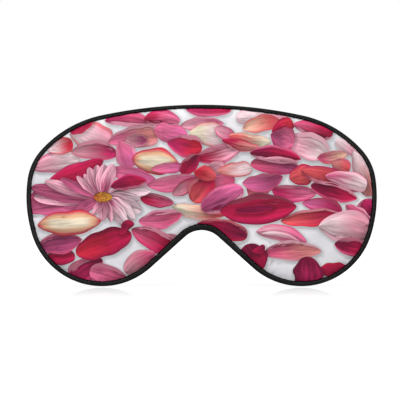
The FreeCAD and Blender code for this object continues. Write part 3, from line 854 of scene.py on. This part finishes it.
slub = cloudy(tree, where, 60.0, 3.0)
height = plus(tree, times(tree, weave, 0.3), times(tree, slub, 4.0))
bump = bumped(tree, 0.25, 0.0001, height)
finish(tree, {
    "Base Color": colour, "Roughness": ramp(tree, slub, 0.3, 0.7, 0.48, 0.6),
    "Normal": bump, "Specular IOR Level": 0.18, "Sheen Weight": 0.06, "Sheen Roughness": 0.35,
})
front.data.materials.append(satin)
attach(front, "mask")
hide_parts("front_panel")
ring = outline(CLOTH_EDGE, 900)
step = np.roll(ring, -1, 0)


# ---- Back lining and care label -------------------------------------------------------------
# Soft black brushed jersey against the face, cut to the same outline as the front and caught in
# the same seam. A blank white satin label is sewn into the binding under the wearer's cheek.
LABEL_WIDTH = 18.0
LABEL_LENGTH = 21.5
LABEL_FOOT = 1.4
LABEL_THICK = 0.14 * MM

flat, faces, tops = cut_cloth([])
lining = cloth_object("back_lining_jersey", flat, faces, 1)
finish_cloth(lining)
jersey, tree = new_material("brushed_jersey")
where = places_in(tree)
x, y, z = parts_of(tree, where)
wale = calc(tree, "ABSOLUTE", sine_of(tree, x, 5200.0))
course_place = plus(tree, times(tree, z, 7400.0), times(tree, wale, 1.3))
course = calc(tree, "SINE", course_place)
nap_place = node(tree, "ShaderNodeMapping", {0: where, 3: (1.0, 1.0, 0.45)}).outputs[0]
nap = cloudy(tree, nap_place, 1500.0, 4.0)
patches = cloudy(tree, where, 55.0, 3.0)
stitches = plus(tree, wale, times(tree, course, 0.35))
height = plus(tree, times(tree, stitches, 0.4), nap)
bump = bumped(tree, 0.7, 0.00016, height)
black = plus(tree, ramp(tree, nap, 0.35, 0.7, 0.010, 0.030), ramp(tree, patches, 0.3, 0.7, -0.002, 0.006))
black = plus(tree, black, ramp(tree, stitches, 0.0, 1.2, -0.003, 0.004))
finish(tree, {
    "Base Color": grey(tree, black), "Roughness": ramp(tree, patches, 0.3, 0.7, 0.82, 0.95),
    "Normal": bump, "Specular IOR Level": 0.2, "Sheen Weight": 0.16, "Sheen Roughness": 0.5,
})
lining.data.materials.append(jersey)
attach(lining, "mask")
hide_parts("back_lining")
lining_surface = BVHTree.FromObject(lining, bpy.context.evaluated_depsgraph_get())
front_surface = BVHTree.FromObject(front, bpy.context.evaluated_depsgraph_get())


def cloth_rise(surface, side, x, h):
    """How far a cloth's outer face stands from the seam plane at a place, in mm."""
    hit = surface.ray_cast(Vector((x * MM, side * 0.1, LOW_Z + h * MM)), Vector((0, -side, 0)))
    return FLANGE_LIFT if hit[0] is None else side * (hit[0].y - SEAM_Y) / MM


label_low, label_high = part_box("care_label")
label_x = (label_low.x + label_high.x) / 2 / MM
bpy.ops.object.select_all(action="DESELECT")
bpy.ops.mesh.primitive_grid_add(x_subdivisions=18, y_subdivisions=22, size=1)
label = bpy.context.object
label.name = "care_label_satin"
for vertex in label.data.vertices:
    across, up = vertex.co.x, vertex.co.y + 0.5
    x = label_x + across * LABEL_WIDTH + 0.25 * up
    h = LABEL_FOOT + up * LABEL_LENGTH - 0.12 * math.cos(across * 9)
    rise = cloth_rise(lining_surface, 1, x, h)
    curl = 0.55 * max(up - 0.72, 0) ** 1.5 * (1 + 5 * across ** 2) * 3
    wave = 0.07 * math.sin(across * 7 + up * 3)
    vertex.co = (x * MM, SEAM_Y + (rise + 0.22 + curl + wave * up) * MM, LOW_Z + h * MM)
face_outwards()
if label.data.polygons[0].normal.y < 0:
    label.data.flip_normals()
apply(label, "SOLIDIFY", thickness=LABEL_THICK, offset=-1)
bpy.ops.object.shade_smooth_by_angle(angle=math.radians(50))
label_white, tree = new_material("label_satin_white")
where = places_in(tree)
x, y, z = parts_of(tree, where)
floats = sine_of(tree, x, 15000.0)
picks = sine_of(tree, z, 9500.0)
slub = cloudy(tree, where, 260.0, 3.0)
height = plus(tree, times(tree, plus(tree, floats, picks), 0.3), slub)
bump = bumped(tree, 0.4, 0.00006, height)
white = grey(tree, ramp(tree, slub, 0.3, 0.7, 0.72, 0.84))
# The label's lower end is painted darker where it goes under the binding: painted shade.
painted_shade_span = (label_low.z - 4.5 * MM, label_low.z - 0.5 * MM)
white = blend_colours(tree, ramp(tree, z, painted_shade_span[0], painted_shade_span[1], 0.35, 0.0), white, (0.5, 0.49, 0.47, 1))
finish(tree, {
    "Base Color": white, "Roughness": ramp(tree, slub, 0.3, 0.7, 0.36, 0.48), "Normal": bump,
    "Sheen Weight": 0.15, "Anisotropic": 0.4,
})
label.data.materials.append(label_white)
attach(label, "mask")
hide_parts("care_label")


# ---- Edge binding ---------------------------------------------------------------------------
# A black woven tape folded over the raw edges, its own edges turned under, and sewn through all
# layers. It is wider in the curve of the nose notch, and lifts over the two strap ends.
TAPE_THICK = 0.26
RIM_STATIONS = 900
# Share of the way from the top middle to the notch, and the tape's width on the front there.
FRONT_WIDTHS = ((0, 0.15, 0.30, 0.50, 0.72, 0.85, 0.93, 1.0), (2.2, 2.35, 2.6, 2.95, 2.85, 3.2, 3.5, 3.8))
BACK_WIDTH = 3.0
STITCH_PITCH = 2.6
STITCH_IN = 0.85
STRAP_HEIGHT = (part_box("strap_side_left")[0].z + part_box("strap_side_left")[1].z) / 2 / MM - LOW_Z / MM
POCKET_FROM = 85.0
POCKET_HALF = 7.5
POCKET_FADE = 3.5
POCKET_RAISE = 0.95
STITCH_COLUMN = 7
# The lapped end of the tape, low on the wearer's side, and its turned-under first stations.
LAP_BELOW = 12.0
LAP_SPAN = (-41.2, -34.0)
LAP_STATIONS = 30
LAP_GAP = 0.02
LAP_PAST_EDGE = 0.12
TURNED_STATIONS = 9
TURNED_THICK = 1.9
# Painted shade and highlight across each line of one face, from hidden edge to rim: dark inner edge, light
# crest.
PAINTED_LIGHT_ACROSS = (-1, -1, -1, -1, -1, -1, -0.8, 0.5, 0.8, 0.6, 0.3, 0, -0.3, -0.4, -0.4)


class Rim:
    """Stations along part of the outline, and the folded tape's path at each of them."""

    def __init__(self, first, last, count, closed):
        self.along = np.linspace(first, last, count, endpoint=not closed)
        pairs = [on_outline(a % (2 * HALF_ROUND)) for a in self.along]
        self.at = np.array([p for p, inward in pairs]) - (0, TOP_DROP)
        self.inward = np.array([inward for p, inward in pairs])
        turn = self.along / HALF_ROUND * math.pi
        wobble = 0.07 * np.sin(19 * turn + 1) + 0.05 * np.sin(43 * turn) + 0.04 * np.sin(71 * turn + 2)
        share = np.minimum(self.along, 2 * HALF_ROUND - self.along) / HALF_ROUND
        self.front = self.half(np.interp(share, *FRONT_WIDTHS) + wobble, front_surface, -1, 0)
        over_strap = np.abs(self.at[:, 1] - STRAP_HEIGHT) - POCKET_HALF
        beside = (1 - np.clip(over_strap / POCKET_FADE, 0, 1)) ** 0.7
        raised = np.where(np.abs(self.at[:, 0]) > POCKET_FROM, POCKET_RAISE, 0) * beside
        self.back = self.half(BACK_WIDTH - wobble[::-1], lining_surface, 1, raised)
        self.across = np.concatenate([self.front, self.back[:, -2::-1]], axis=1)

    def half(self, w, surface, side, raised):
        """Tape's path from its hidden edge to the rim: inwards, and out from the seam plane."""
        edge = self.at + self.inward * (w - 0.1)[:, None]
        rise = np.array([cloth_rise(surface, side, x, h) for x, h in edge])
        lift = np.maximum(rise + 0.14 - 0.95, 0) + raised
        beat = np.cos(self.along * 2 * math.pi / STITCH_PITCH)
        sewn = w - STITCH_IN
        crest = (sewn * 0.65 + 0.5 * 0.35, sewn * 0.3 + 0.5 * 0.7)
        rows = [
            (np.maximum(w - 1.9, 0.45), 0.93 + lift * 0.4), (w - 1.0, 0.95 + lift * 0.8),
            (w - 0.4, 0.96 + lift), (w - 0.1, 1.04 + lift), (w + 0.03 * beat, 1.22 + lift),
            (w - 0.1 + 0.02 * beat, 1.41 + lift), (w - 0.42, 1.53 + lift + 0.03 * beat),
            (sewn, 1.45 + lift * 0.9 + 0.05 * beat), (sewn - 0.28, 1.56 + lift * 0.8 + 0.05 * beat),
            (crest[0], 1.68 + lift * 0.6), (crest[1], 1.74 + lift * 0.3 + raised * 0.5),
            (0.5 + w * 0, 1.58 + raised * 0.7), (0.22 + w * 0, 1.25 + raised * 0.45),
            (0.05 + w * 0, 0.78 + raised * 0.2), (w * 0, 0.3 + w * 0),
        ]
        return np.array([[d, side * (t + d * 0)] for d, t in rows]).transpose(2, 0, 1)

    def loop(self, path):
        """Closed section of the tape: its outer face, then its inner face the other way."""
        run = np.gradient(path, axis=1)
        run /= np.maximum(np.linalg.norm(run, axis=2, keepdims=True), 1e-9)
        inner = path + TAPE_THICK * np.stack([run[..., 1], -run[..., 0]], 2)
        return np.concatenate([path, inner[:, ::-1]], axis=1)

    def place(self, section):
        """Section points (inwards, out from the seam plane) as places in the row frame."""
        flat = self.at[:, None] + self.inward[:, None] * section[..., :1]
        y = SEAM_Y + section[..., 1:] * MM
        return np.concatenate([flat[..., :1] * MM, y, LOW_Z + flat[..., 1:] * MM], axis=2)


def swept(name, rings, along, across, closed, painted_light=None):
    """Skin over rows of points. Its band_place gives places along and across the tape, and its painted light.
    """
    stations, points = rings.shape[:2]
    last = stations if closed else stations - 1
    i, j = np.meshgrid(np.arange(last), np.arange(points), indexing="ij")
    ahead, beside = (i + 1) % stations, (j + 1) % points
    quads = np.stack([i * points + j, i * points + beside, ahead * points + beside, ahead * points + j], 2)
    faces = quads.reshape(-1, 4).tolist()
    long_side = np.append(along, 2 * along[-1] - along[-2])
    wide = np.append(across, across[0])
    u = np.stack([long_side[i], long_side[i], long_side[i + 1], long_side[i + 1]], 2).ravel()
    v = np.stack([wide[j], wide[j + 1], wide[j + 1], wide[j]], 2).ravel()
    high = np.zeros(points) if painted_light is None else np.array(painted_light, float)
    w = np.stack([high[j], high[(j + 1) % points], high[(j + 1) % points], high[j]], 2).ravel()
    if not closed:
        faces += [list(range(points))[::-1], [(stations - 1) * points + k for k in range(points)]]
        u = np.concatenate([u, np.full(points, along[0]), np.full(points, along[-1])])
        v = np.concatenate([v, across[::-1], across])
        w = np.concatenate([w, high[::-1], high])
    made = new_piece(name, rings.reshape(-1, 3).tolist(), faces)
    layer = made.data.attributes.new("band_place", "FLOAT_VECTOR", "CORNER")
    layer.data.foreach_set("vector", (np.stack([u, v, w], 1) * MM).ravel())
    select_only(made)
    face_outwards()
    bpy.ops.object.shade_smooth_by_angle(angle=math.radians(60))
    return made


rim = Rim(0, 2 * HALF_ROUND, RIM_STATIONS, True)
section = rim.loop(rim.across)
middle = rim.across[RIM_STATIONS // 3]
widths = np.concatenate([[0], np.cumsum(np.linalg.norm(np.diff(middle, axis=0), axis=1))])
painted_light = PAINTED_LIGHT_ACROSS + PAINTED_LIGHT_ACROSS[-2::-1]
binding = swept(
    "edge_binding_tape", rim.place(section), rim.along, np.concatenate([widths, widths[::-1]]), True,
    painted_light + painted_light[::-1],
)


ribbed, given, result = new_group(
    "ribbed_tape",
    [
        ("Ribs", "Float", 3000.0), ("Threads", "Float", 9000.0), ("Dark", "Float", 0.01),
        ("Light", "Float", 0.02),
    ],
    [("Color", "Color"), ("Height", "Float"), ("Roughness", "Float")],
)
along_across = node(ribbed, "ShaderNodeAttribute", attribute_name="band_place").outputs["Vector"]
u, v, painted_light_level = parts_of(ribbed, along_across)
uneven = cloudy(ribbed, along_across, 700.0, 3.0)
cross = plus(ribbed, times(ribbed, u, given["Ribs"]), times(ribbed, uneven, 1.4))
cross = calc(ribbed, "ABSOLUTE", calc(ribbed, "SINE", cross))
lengthwise = sine_of(ribbed, v, given["Threads"])
relief = plus(ribbed, cross, times(ribbed, lengthwise, 0.3), times(ribbed, uneven, 0.5))
surface_tone = span(ribbed, relief, given["Dark"], given["Light"], 0.1, 1.5)
dust = cloudy(ribbed, along_across, 90.0, 4.0)
# Painted shade and highlight: the tape's colour is darkened at its inner edge and lightened on its crest.
surface_tone = times(
    ribbed, surface_tone, ramp(ribbed, dust, 0.3, 0.75, 0.8, 1.3), ramp(ribbed, painted_light_level, -MM, MM, 0.05, 1.8),
)
tint = node(ribbed, "ShaderNodeCombineColor", {0: surface_tone, 1: times(ribbed, surface_tone, 1.06), 2: surface_tone})
ribbed.links.new(tint.outputs[0], result["Color"])
ribbed.links.new(relief, result["Height"])
ribbed.links.new(ramp(ribbed, relief, 0.1, 1.5, 0.66, 0.5), result["Roughness"])


def ribbed_black(name, ribs, threads, dark, light, depth, shine, sheen):
    """Black woven tape or elastic with cross ribs; shine and sheen are the shader's own values."""
    material, tree = new_material(name)
    weave = node(tree, "ShaderNodeGroup", node_tree=ribbed)
    for key, value in (("Ribs", ribs), ("Threads", threads), ("Dark", dark), ("Light", light)):
        weave.inputs[key].default_value = value
    bump = bumped(tree, 0.8, depth, weave.outputs["Height"])
    finish(tree, {
        "Base Color": weave.outputs["Color"], "Roughness": weave.outputs["Roughness"],
        "Normal": bump, "Specular IOR Level": shine, "Sheen Weight": sheen,
        "Sheen Roughness": 0.4,
    })
    return material


tape_black = ribbed_black("binding_black", 7600.0, 15000.0, 0.006, 0.015, 0.00007, 0.06, 0.0)
binding.data.materials.append(tape_black)
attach(binding, "mask")
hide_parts("edge_binding")


def in_lap(along):
    """Whether the tape's lapped end lies at a distance along the outline."""
    x, h = on_outline(along)[0] - (0, TOP_DROP)
    return h < LAP_BELOW and LAP_SPAN[0] < x < LAP_SPAN[1]


lap_places = [a for a in np.linspace(HALF_ROUND, 2 * HALF_ROUND, 3000) if in_lap(a)]
lap = Rim(lap_places[0], lap_places[-1], LAP_STATIONS, False)
over = lap.back[:, 3:-3].copy()
over[..., 1] += TAPE_THICK + LAP_GAP
over[:, :3, 0] += LAP_PAST_EDGE
thick = np.ones(LAP_STATIONS)
thick[:TURNED_STATIONS] = TURNED_THICK
section = lap.loop(over)
half = over.shape[1]
section[:, :half] += (section[:, :half] - section[:, half:][:, ::-1]) * (thick - 1)[:, None, None]
edge_fold = swept(
    "binding_end_fold_tape", lap.place(section), lap.along,
    np.concatenate([widths[:half], widths[:half][::-1]]), False,
)
edge_fold.data.materials.append(tape_black)
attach(edge_fold, "mask")
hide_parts("binding_end_fold")


# ---- Binding seam ---------------------------------------------------------------------------
# One row of lockstitch holds the binding: needle thread on the front and bobbin thread on the
# back, each stitch drawn down into the tape. White basting thread lies hidden inside.
STITCH_LENGTH = 2.15
THREAD_WIDTH = 0.34

twist, given, result = new_group(
    "twisted_thread", [("Dark", "Color", (0.01, 0.01, 0.01, 1)), ("Light", "Color", (0.03, 0.03, 0.03, 1))],
    [("Color", "Color"), ("Height", "Float")],
)
where = places_in(twist)
x, y, z = parts_of(twist, where)
plies = sine_of(twist, plus(twist, x, y, z), 14000.0)
fibres = cloudy(twist, where, 4000.0, 3.0)
relief = plus(twist, plies, fibres)
shade = ramp(twist, relief, -0.4, 1.4)
twist.links.new(blend_colours(twist, shade, given["Dark"], given["Light"]), result["Color"])
twist.links.new(relief, result["Height"])


def thread_material(name, dark, light):
    material, tree = new_material(name)
    plies = node(tree, "ShaderNodeGroup", node_tree=twist)
    plies.inputs["Dark"].default_value = (*dark, 1)
    plies.inputs["Light"].default_value = (*light, 1)
    bump = bumped(tree, 0.6, 0.00005, plies.outputs["Height"])
    finish(tree, {
        "Base Color": plies.outputs["Color"], "Normal": bump, "Roughness": 0.5,
        "Specular IOR Level": 0.4, "Sheen Weight": 0.2,
    })
    return material


thread_black = thread_material("sewing_thread_black", (0.006, 0.006, 0.007), (0.028, 0.028, 0.030))
dress("basting_thread", thread_material("basting_thread_white", (0.62, 0.61, 0.58), (0.88, 0.87, 0.84)))

bpy.ops.object.select_all(action="DESELECT")
bpy.ops.mesh.primitive_uv_sphere_add(segments=8, ring_count=6, radius=0.5)
one_stitch = bpy.context.object
stitch_points = np.array([v.co for v in one_stitch.data.vertices])
stitch_faces = [list(polygon.vertices) for polygon in one_stitch.data.polygons]
stitch_points[:, 2] = np.sign(stitch_points[:, 2]) * np.abs(stitch_points[:, 2] * 2) ** 0.8 / 2
bpy.data.objects.remove(one_stitch)


def sewn(name, stitches):
    """Stitches in one piece; each is a middle, a direction, a length and a width, in metres."""
    places, faces = [], []
    for middle, run, length, width in stitches:
        run = Vector(run).normalized()
        turn = np.array(run.to_track_quat("Z", "Y").to_matrix())
        first = len(faces) // len(stitch_faces) * len(stitch_points)
        places.append((stitch_points * (width, width, length)) @ turn.T + np.array(middle))
        faces += [[first + k for k in face] for face in stitch_faces]
    made = new_piece(name, np.concatenate(places).tolist(), faces)
    made.data.materials.append(thread_black)
    return made


stitch_count = round(2 * HALF_ROUND / STITCH_PITCH)
for name, path, side, old in (
    ("needle_stitches_front", rim.front, -1, "needle_thread_front"),
    ("bobbin_stitches_back", rim.back, 1, "bobbin_thread_back"),
):
    line = path[:, STITCH_COLUMN].copy()
    line[:, 1] += side * 0.04
    centres = rim.place(line[:, None])[:, 0]
    rows = []
    for number in range(stitch_count):
        here = int((number + 0.5) * RIM_STATIONS / stitch_count)
        run = centres[(here + 1) % RIM_STATIONS] - centres[here - 1]
        rows.append((centres[here], run, STITCH_LENGTH * MM, THREAD_WIDTH * MM))
    seam = sewn(name, rows)
    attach(seam, "mask")
    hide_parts(old)


# ---- Elastic strap --------------------------------------------------------------------------
# One length of black woven elastic, 15 mm wide, with fine cords along it. It is sewn into the
# left seam, goes behind the head and through the slider, turns round the ring and comes back.
STRAP_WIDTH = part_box("strap_side_left")[1].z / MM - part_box("strap_side_left")[0].z / MM
STRAP_THICK = 1.0
STRAP_X = (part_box("strap_side_left")[0].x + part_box("strap_side_left")[1].x) / -2 / MM
SEAM_MM = SEAM_Y / MM
SEWN_X = 100.4
STRAIGHT_END = 64.0
CORNER_RADIUS = 30.0
CORNER_TURN = math.radians(60)
TURN_APEX, FOLD_APEX = 17.1, 39.6
RETURN_X, FOLD_X, FOLD_TOP_X, LAPPED_X = 94.8, 94.1, 96.5, 95.15
CUT_Y = 23.5
FOLD_Y = 27.0
STEP_BEFORE, STEP_AFTER = 1.4, 1.9
LAPPING_Y, LAPPED_Y, END_Y = 36.0, 33.0, 28.5
RIBS = 13
REAR_DROOP = 3.0
DROOP_FROM = 66.0


def bent(corners, radii, pitch=0.4, long_pitch=2.5):
    """Points of a flat band's middle line: straight runs joined by arcs of the radii given."""
    corners = [np.array(c, float) for c in corners]
    path = [corners[0]]

    def straight_to(end):
        reach = np.linalg.norm(end - path[-1])
        count = max(1, int(reach / (long_pitch if reach > 12 else 1.2)))
        start = path[-1]
        path.extend(start + (end - start) * (k + 1) / count for k in range(count))

    for radius, a, b, c in zip(radii, corners, corners[1:], corners[2:]):
        into, out = (b - a) / np.linalg.norm(b - a), (c - b) / np.linalg.norm(c - b)
        side = np.sign(into[0] * out[1] - into[1] * out[0])
        turn = math.acos(np.clip(into @ out, -1, 1))
        first = b - into * radius * math.tan(turn / 2)
        if np.linalg.norm(first - path[-1]) > 1e-3:
            straight_to(first)
        centre = first + side * radius * np.array((-into[1], into[0]))
        count = max(4, int(radius * turn / pitch) if radius < 10 else int(radius * turn / 2))
        for k in range(1, count + 1):
            angle = side * turn * k / count
            arm = first - centre
            cos, sin = math.cos(angle), math.sin(angle)
            path.append(centre + np.array((arm[0] * cos - arm[1] * sin, arm[0] * sin + arm[1] * cos)))
    straight_to(corners[-1])
    return np.array(path)


def lengths(path):
    return np.concatenate([[0], np.cumsum(np.linalg.norm(np.diff(path, axis=0), axis=1))])


def elastic(name, path, start=0.0, thick=STRAP_THICK, ribs=RIBS, droop=None):
    """Woven band standing on edge along a path in X and Y, with cords along both its faces."""
    run = np.gradient(path, axis=0)
    run /= np.linalg.norm(run, axis=1)[:, None]
    side = np.stack([-run[:, 1], run[:, 0]], 1)
    half = STRAP_WIDTH / 2
    count = ribs * 4 + 1
    z = np.sin(np.linspace(-1, 1, count) * math.pi / 2 * 0.94) / math.sin(math.pi / 2 * 0.94)
    z = 0.35 * z + 0.65 * np.linspace(-1, 1, count)
    edge = np.clip((1 - np.abs(z)) * half / 0.55, 0, 1)
    body = thick / 2 * (0.35 + 0.65 * np.sqrt(1 - (1 - edge) ** 2))
    body = body + 0.05 * np.cos(z * math.pi * ribs) * edge
    section_n = np.concatenate([body, -body[::-1]])
    section_z = np.concatenate([z, z[::-1]]) * half
    flat = path[:, None] + side[:, None] * section_n[None, :, None]
    drop = np.zeros(len(path)) if droop is None else droop
    rings = np.zeros((len(path), len(section_n), 3))
    rings[..., :2] = flat * MM
    rings[..., 2] = LOW_Z + (STRAP_HEIGHT + section_z[None] - drop[:, None]) * MM
    return swept(name, rings, start + lengths(path), section_z, False)


rear_half_x = STRAP_X - CORNER_RADIUS * (1 - math.cos(CORNER_TURN))
corner_y = STRAIGHT_END + CORNER_RADIUS * math.sin(CORNER_TURN)
rear_radius = rear_half_x / math.cos(CORNER_TURN)
rear_centre = corner_y - rear_radius * math.sin(CORNER_TURN)
left_end = bent(
    [(-SEWN_X, SEAM_MM + 1.2), (-STRAP_X, SEAM_MM + 1.2), (-STRAP_X, STRAIGHT_END)], [1.2],
)
angles = np.linspace(0, CORNER_TURN, 17)[1:]
corner_x = STRAP_X - CORNER_RADIUS + CORNER_RADIUS * np.cos(angles)
left_corner = np.stack([-corner_x, STRAIGHT_END + CORNER_RADIUS * np.sin(angles)], 1)
angles = np.linspace(math.pi - CORNER_TURN, CORNER_TURN, 80)[1:]
rear = np.stack([rear_radius * np.cos(angles), rear_centre + rear_radius * np.sin(angles)], 1)
right_corner = left_corner[::-1][1:] * (-1, 1)
right_run = bent([(STRAP_X, STRAIGHT_END), (STRAP_X, CUT_Y)], [])
loop_path = np.concatenate([left_end, left_corner, rear, right_corner, right_run])
back_share = np.clip((loop_path[:, 1] - DROOP_FROM) / (loop_path[:, 1].max() - DROOP_FROM), 0, 1)
droop = REAR_DROOP * back_share ** 2 * (3 - 2 * back_share)
loop_band = elastic("strap_loop_elastic", loop_path, droop=droop)

folded = bent(
    [
        (STRAP_X, CUT_Y), (STRAP_X, TURN_APEX), (RETURN_X, TURN_APEX), (RETURN_X, CUT_Y - STEP_BEFORE),
        (FOLD_X, CUT_Y + STEP_AFTER), (FOLD_X, FOLD_APEX), (FOLD_TOP_X, FOLD_APEX),
        (FOLD_TOP_X, LAPPING_Y), (LAPPED_X, LAPPED_Y), (LAPPED_X, END_Y),
    ],
    [1.4, 1.4, 6.0, 6.0, 1.2, 1.2, 2.5, 2.5],
)
lowest = int(folded[:, 1].argmin())
first_cut = lowest + int(np.argmax(folded[lowest:, 1] >= CUT_Y))
second_cut = first_cut + int(np.argmax(folded[first_cut:, 1] >= FOLD_Y))
after_loop = lengths(loop_path)[-1]
reach = after_loop + lengths(folded)
turn_band = elastic("strap_ring_turn_elastic", folded[:first_cut + 1], reach[0])
return_band = elastic("strap_return_elastic", folded[first_cut:second_cut + 1], reach[first_cut])
fold_band = elastic("strap_end_fold_elastic", folded[second_cut:], reach[second_cut])
elastic_black = ribbed_black("elastic_black", 5200.0, 13000.0, 0.007, 0.018, 0.00009, 0.3, 0.12)
for piece in (loop_band, turn_band, return_band, fold_band):
    piece.data.materials.append(elastic_black)
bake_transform(loop_band)
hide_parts("strap_end_left", "strap_side_left", "strap_back", "strap_side_right")
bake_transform(turn_band)
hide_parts("strap_ring_turn")
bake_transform(return_band)
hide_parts("strap_return")
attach(fold_band, "slider")
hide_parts("strap_end_fold")


# ---- Tab, ring and slider -------------------------------------------------------------------
# A grosgrain tape tab in the right seam holds a black coated wire ring. The three-bar slider is
# moulded in black acetal, with the strap's end sewn round its centre bar.
RING_X = 96.2
RING_CLEAR = 1.15
TAB_THICK = 0.5
TAB_GAP = 0.05
TAB_X = 96.6
TAB_RISE = 0.93
SPREAD_Y, WIDE_Y, TAB_APEX = 4.5, 10.0, 13.15
near_run, far_run = TAB_X, TAB_X + TAB_THICK + TAB_GAP
near_x, far_x = RING_X - RING_CLEAR, RING_X + RING_CLEAR
low_y = SEAM_MM + TAB_RISE
high_y = low_y + TAB_THICK + TAB_GAP
tab_path = bent(
    [
        (SEWN_X, low_y), (near_run, low_y), (near_run, SPREAD_Y), (near_x, WIDE_Y), (near_x, TAB_APEX),
        (far_x, TAB_APEX), (far_x, WIDE_Y), (far_run, SPREAD_Y), (far_run, high_y), (SEWN_X, high_y),
    ],
    [1.3, 5.0, 3.0, 1.15, 1.15, 3.0, 5.0, 0.75], pitch=0.3,
)
tab = elastic("strap_tab_tape", tab_path, thick=TAB_THICK, ribs=5)
grosgrain = ribbed_black("tab_grosgrain_black", 3300.0, 15000.0, 0.006, 0.016, 0.00012, 0.25, 0.1)
tab.data.materials.append(grosgrain)
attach(tab, "mask")
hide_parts("strap_tab")


def worn_black(name, base, surface_tone, low_rough, high_rough, grain, shine, coat):
    """Hard black finish with a fine grain, lighter where it is handled."""
    material, tree = new_material(name)
    where = places_in(tree)
    fine = cloudy(tree, where, 2600.0, 2.0)
    broad = cloudy(tree, where, 240.0, 5.0)
    scuffs = cloudy(tree, where, 900.0, 6.0)
    touched = times(tree, ramp(tree, broad, 0.42, 0.7), ramp(tree, scuffs, 0.45, 0.65))
    colour = blend_colours(tree, touched, (*base, 1), (*surface_tone, 1))
    height = plus(tree, fine, times(tree, scuffs, 0.5))
    bump = bumped(tree, 0.5, grain, height)
    finish(tree, {
        "Base Color": colour, "Roughness": ramp(tree, touched, 0.0, 1.0, low_rough, high_rough),
        "Normal": bump, "Specular IOR Level": shine, "Coat Weight": coat,
        "Coat Roughness": 0.25,
    })
    return material


# Base and rubbed colours, lowest and highest roughness, depth of grain, specular and coat.
WIRE = ((0.010, 0.010, 0.011), (0.05, 0.05, 0.052), 0.28, 0.5, 0.00003, 0.5, 0.3)
ACETAL = ((0.012, 0.012, 0.013), (0.03, 0.03, 0.032), 0.34, 0.55, 0.00006, 0.5, 0.0)
dress("strap_ring", worn_black("coated_wire", *WIRE))
dress("strap_slider", worn_black("acetal_black", *ACETAL))


# ---- Bar tacks ------------------------------------------------------------------------------
# Dense bars of zigzag thread: one on the binding over each strap end, one on each face of the
# tab, and one on each face of the strap's folded end.
TACK_LENGTH = 11.0
TACK_WIDTH = 1.6
TACK_PASSES = 34
TACK_IN = 1.35


def bar_tack(centre, out, across, name):
    """Zigzag of thread on a face: its middle, the face's normal, and the short way across."""
    draw = random.Random(name)
    centre, out, across = (np.array(n, float) for n in (centre, out, across))
    up = np.array((0.0, 0.0, 1.0))
    rows = []
    for side in (-0.45, 0.0, 0.45):
        middle = centre + across * side * TACK_WIDTH * MM + out * 0.05 * MM
        rows.append((middle, up, TACK_LENGTH * MM * 0.98, 0.3 * MM))
    for number in range(TACK_PASSES):
        rise = (number / (TACK_PASSES - 1) - 0.5) * TACK_LENGTH * MM
        lean = 0.16 if number % 2 else -0.16
        middle = centre + up * rise + out * (0.17 + draw.uniform(-0.02, 0.02)) * MM
        middle = middle + across * draw.uniform(-0.05, 0.05) * MM
        rows.append((middle, across + up * lean, (TACK_WIDTH + draw.uniform(-0.1, 0.15)) * MM, 0.33 * MM))
    return rows


strap_z = LOW_Z + STRAP_HEIGHT * MM


def pocket_tack(side):
    middle = int(np.argmin(np.abs(rim.at[:, 1] - STRAP_HEIGHT) + 1e3 * (rim.at[:, 0] * side < 0)))
    x = rim.at[middle, 0] + rim.inward[middle, 0] * TACK_IN
    y = SEAM_Y + float(np.interp(TACK_IN, rim.back[middle, :, 0][::-1], rim.back[middle, :, 1][::-1])) * MM
    return bar_tack((x * MM, y - 0.02 * MM, strap_z), (0, 1, 0), (1, 0, 0), side)


left_tack = sewn("end_tack_left_stitches", pocket_tack(-1))
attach(left_tack, "mask")
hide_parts("end_tack_left")
tack_y = 2.2 * MM
near_face, far_face = (near_run - TAB_THICK / 2) * MM, (far_run + TAB_THICK / 2) * MM
rows = pocket_tack(1)
rows += bar_tack((near_face, tack_y, strap_z), (-1, 0, 0), (0, 1, 0), 2)
rows += bar_tack((far_face, tack_y, strap_z), (1, 0, 0), (0, 1, 0), 3)
tab_stitches = sewn("tab_tack_stitches", rows)
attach(tab_stitches, "mask")
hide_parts("tab_tacks")
fold_y = (FOLD_Y + 3.2) * MM
below, above = (FOLD_X - STRAP_THICK / 2) * MM, (LAPPED_X + STRAP_THICK / 2) * MM
rows = bar_tack((below, fold_y, strap_z), (-1, 0, 0), (0, 1, 0), 4)
rows += bar_tack((above, fold_y, strap_z), (1, 0, 0), (0, 1, 0), 5)
slider_stitches = sewn("slider_tack_stitches", rows)
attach(slider_stitches, "slider")
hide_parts("slider_tacks")
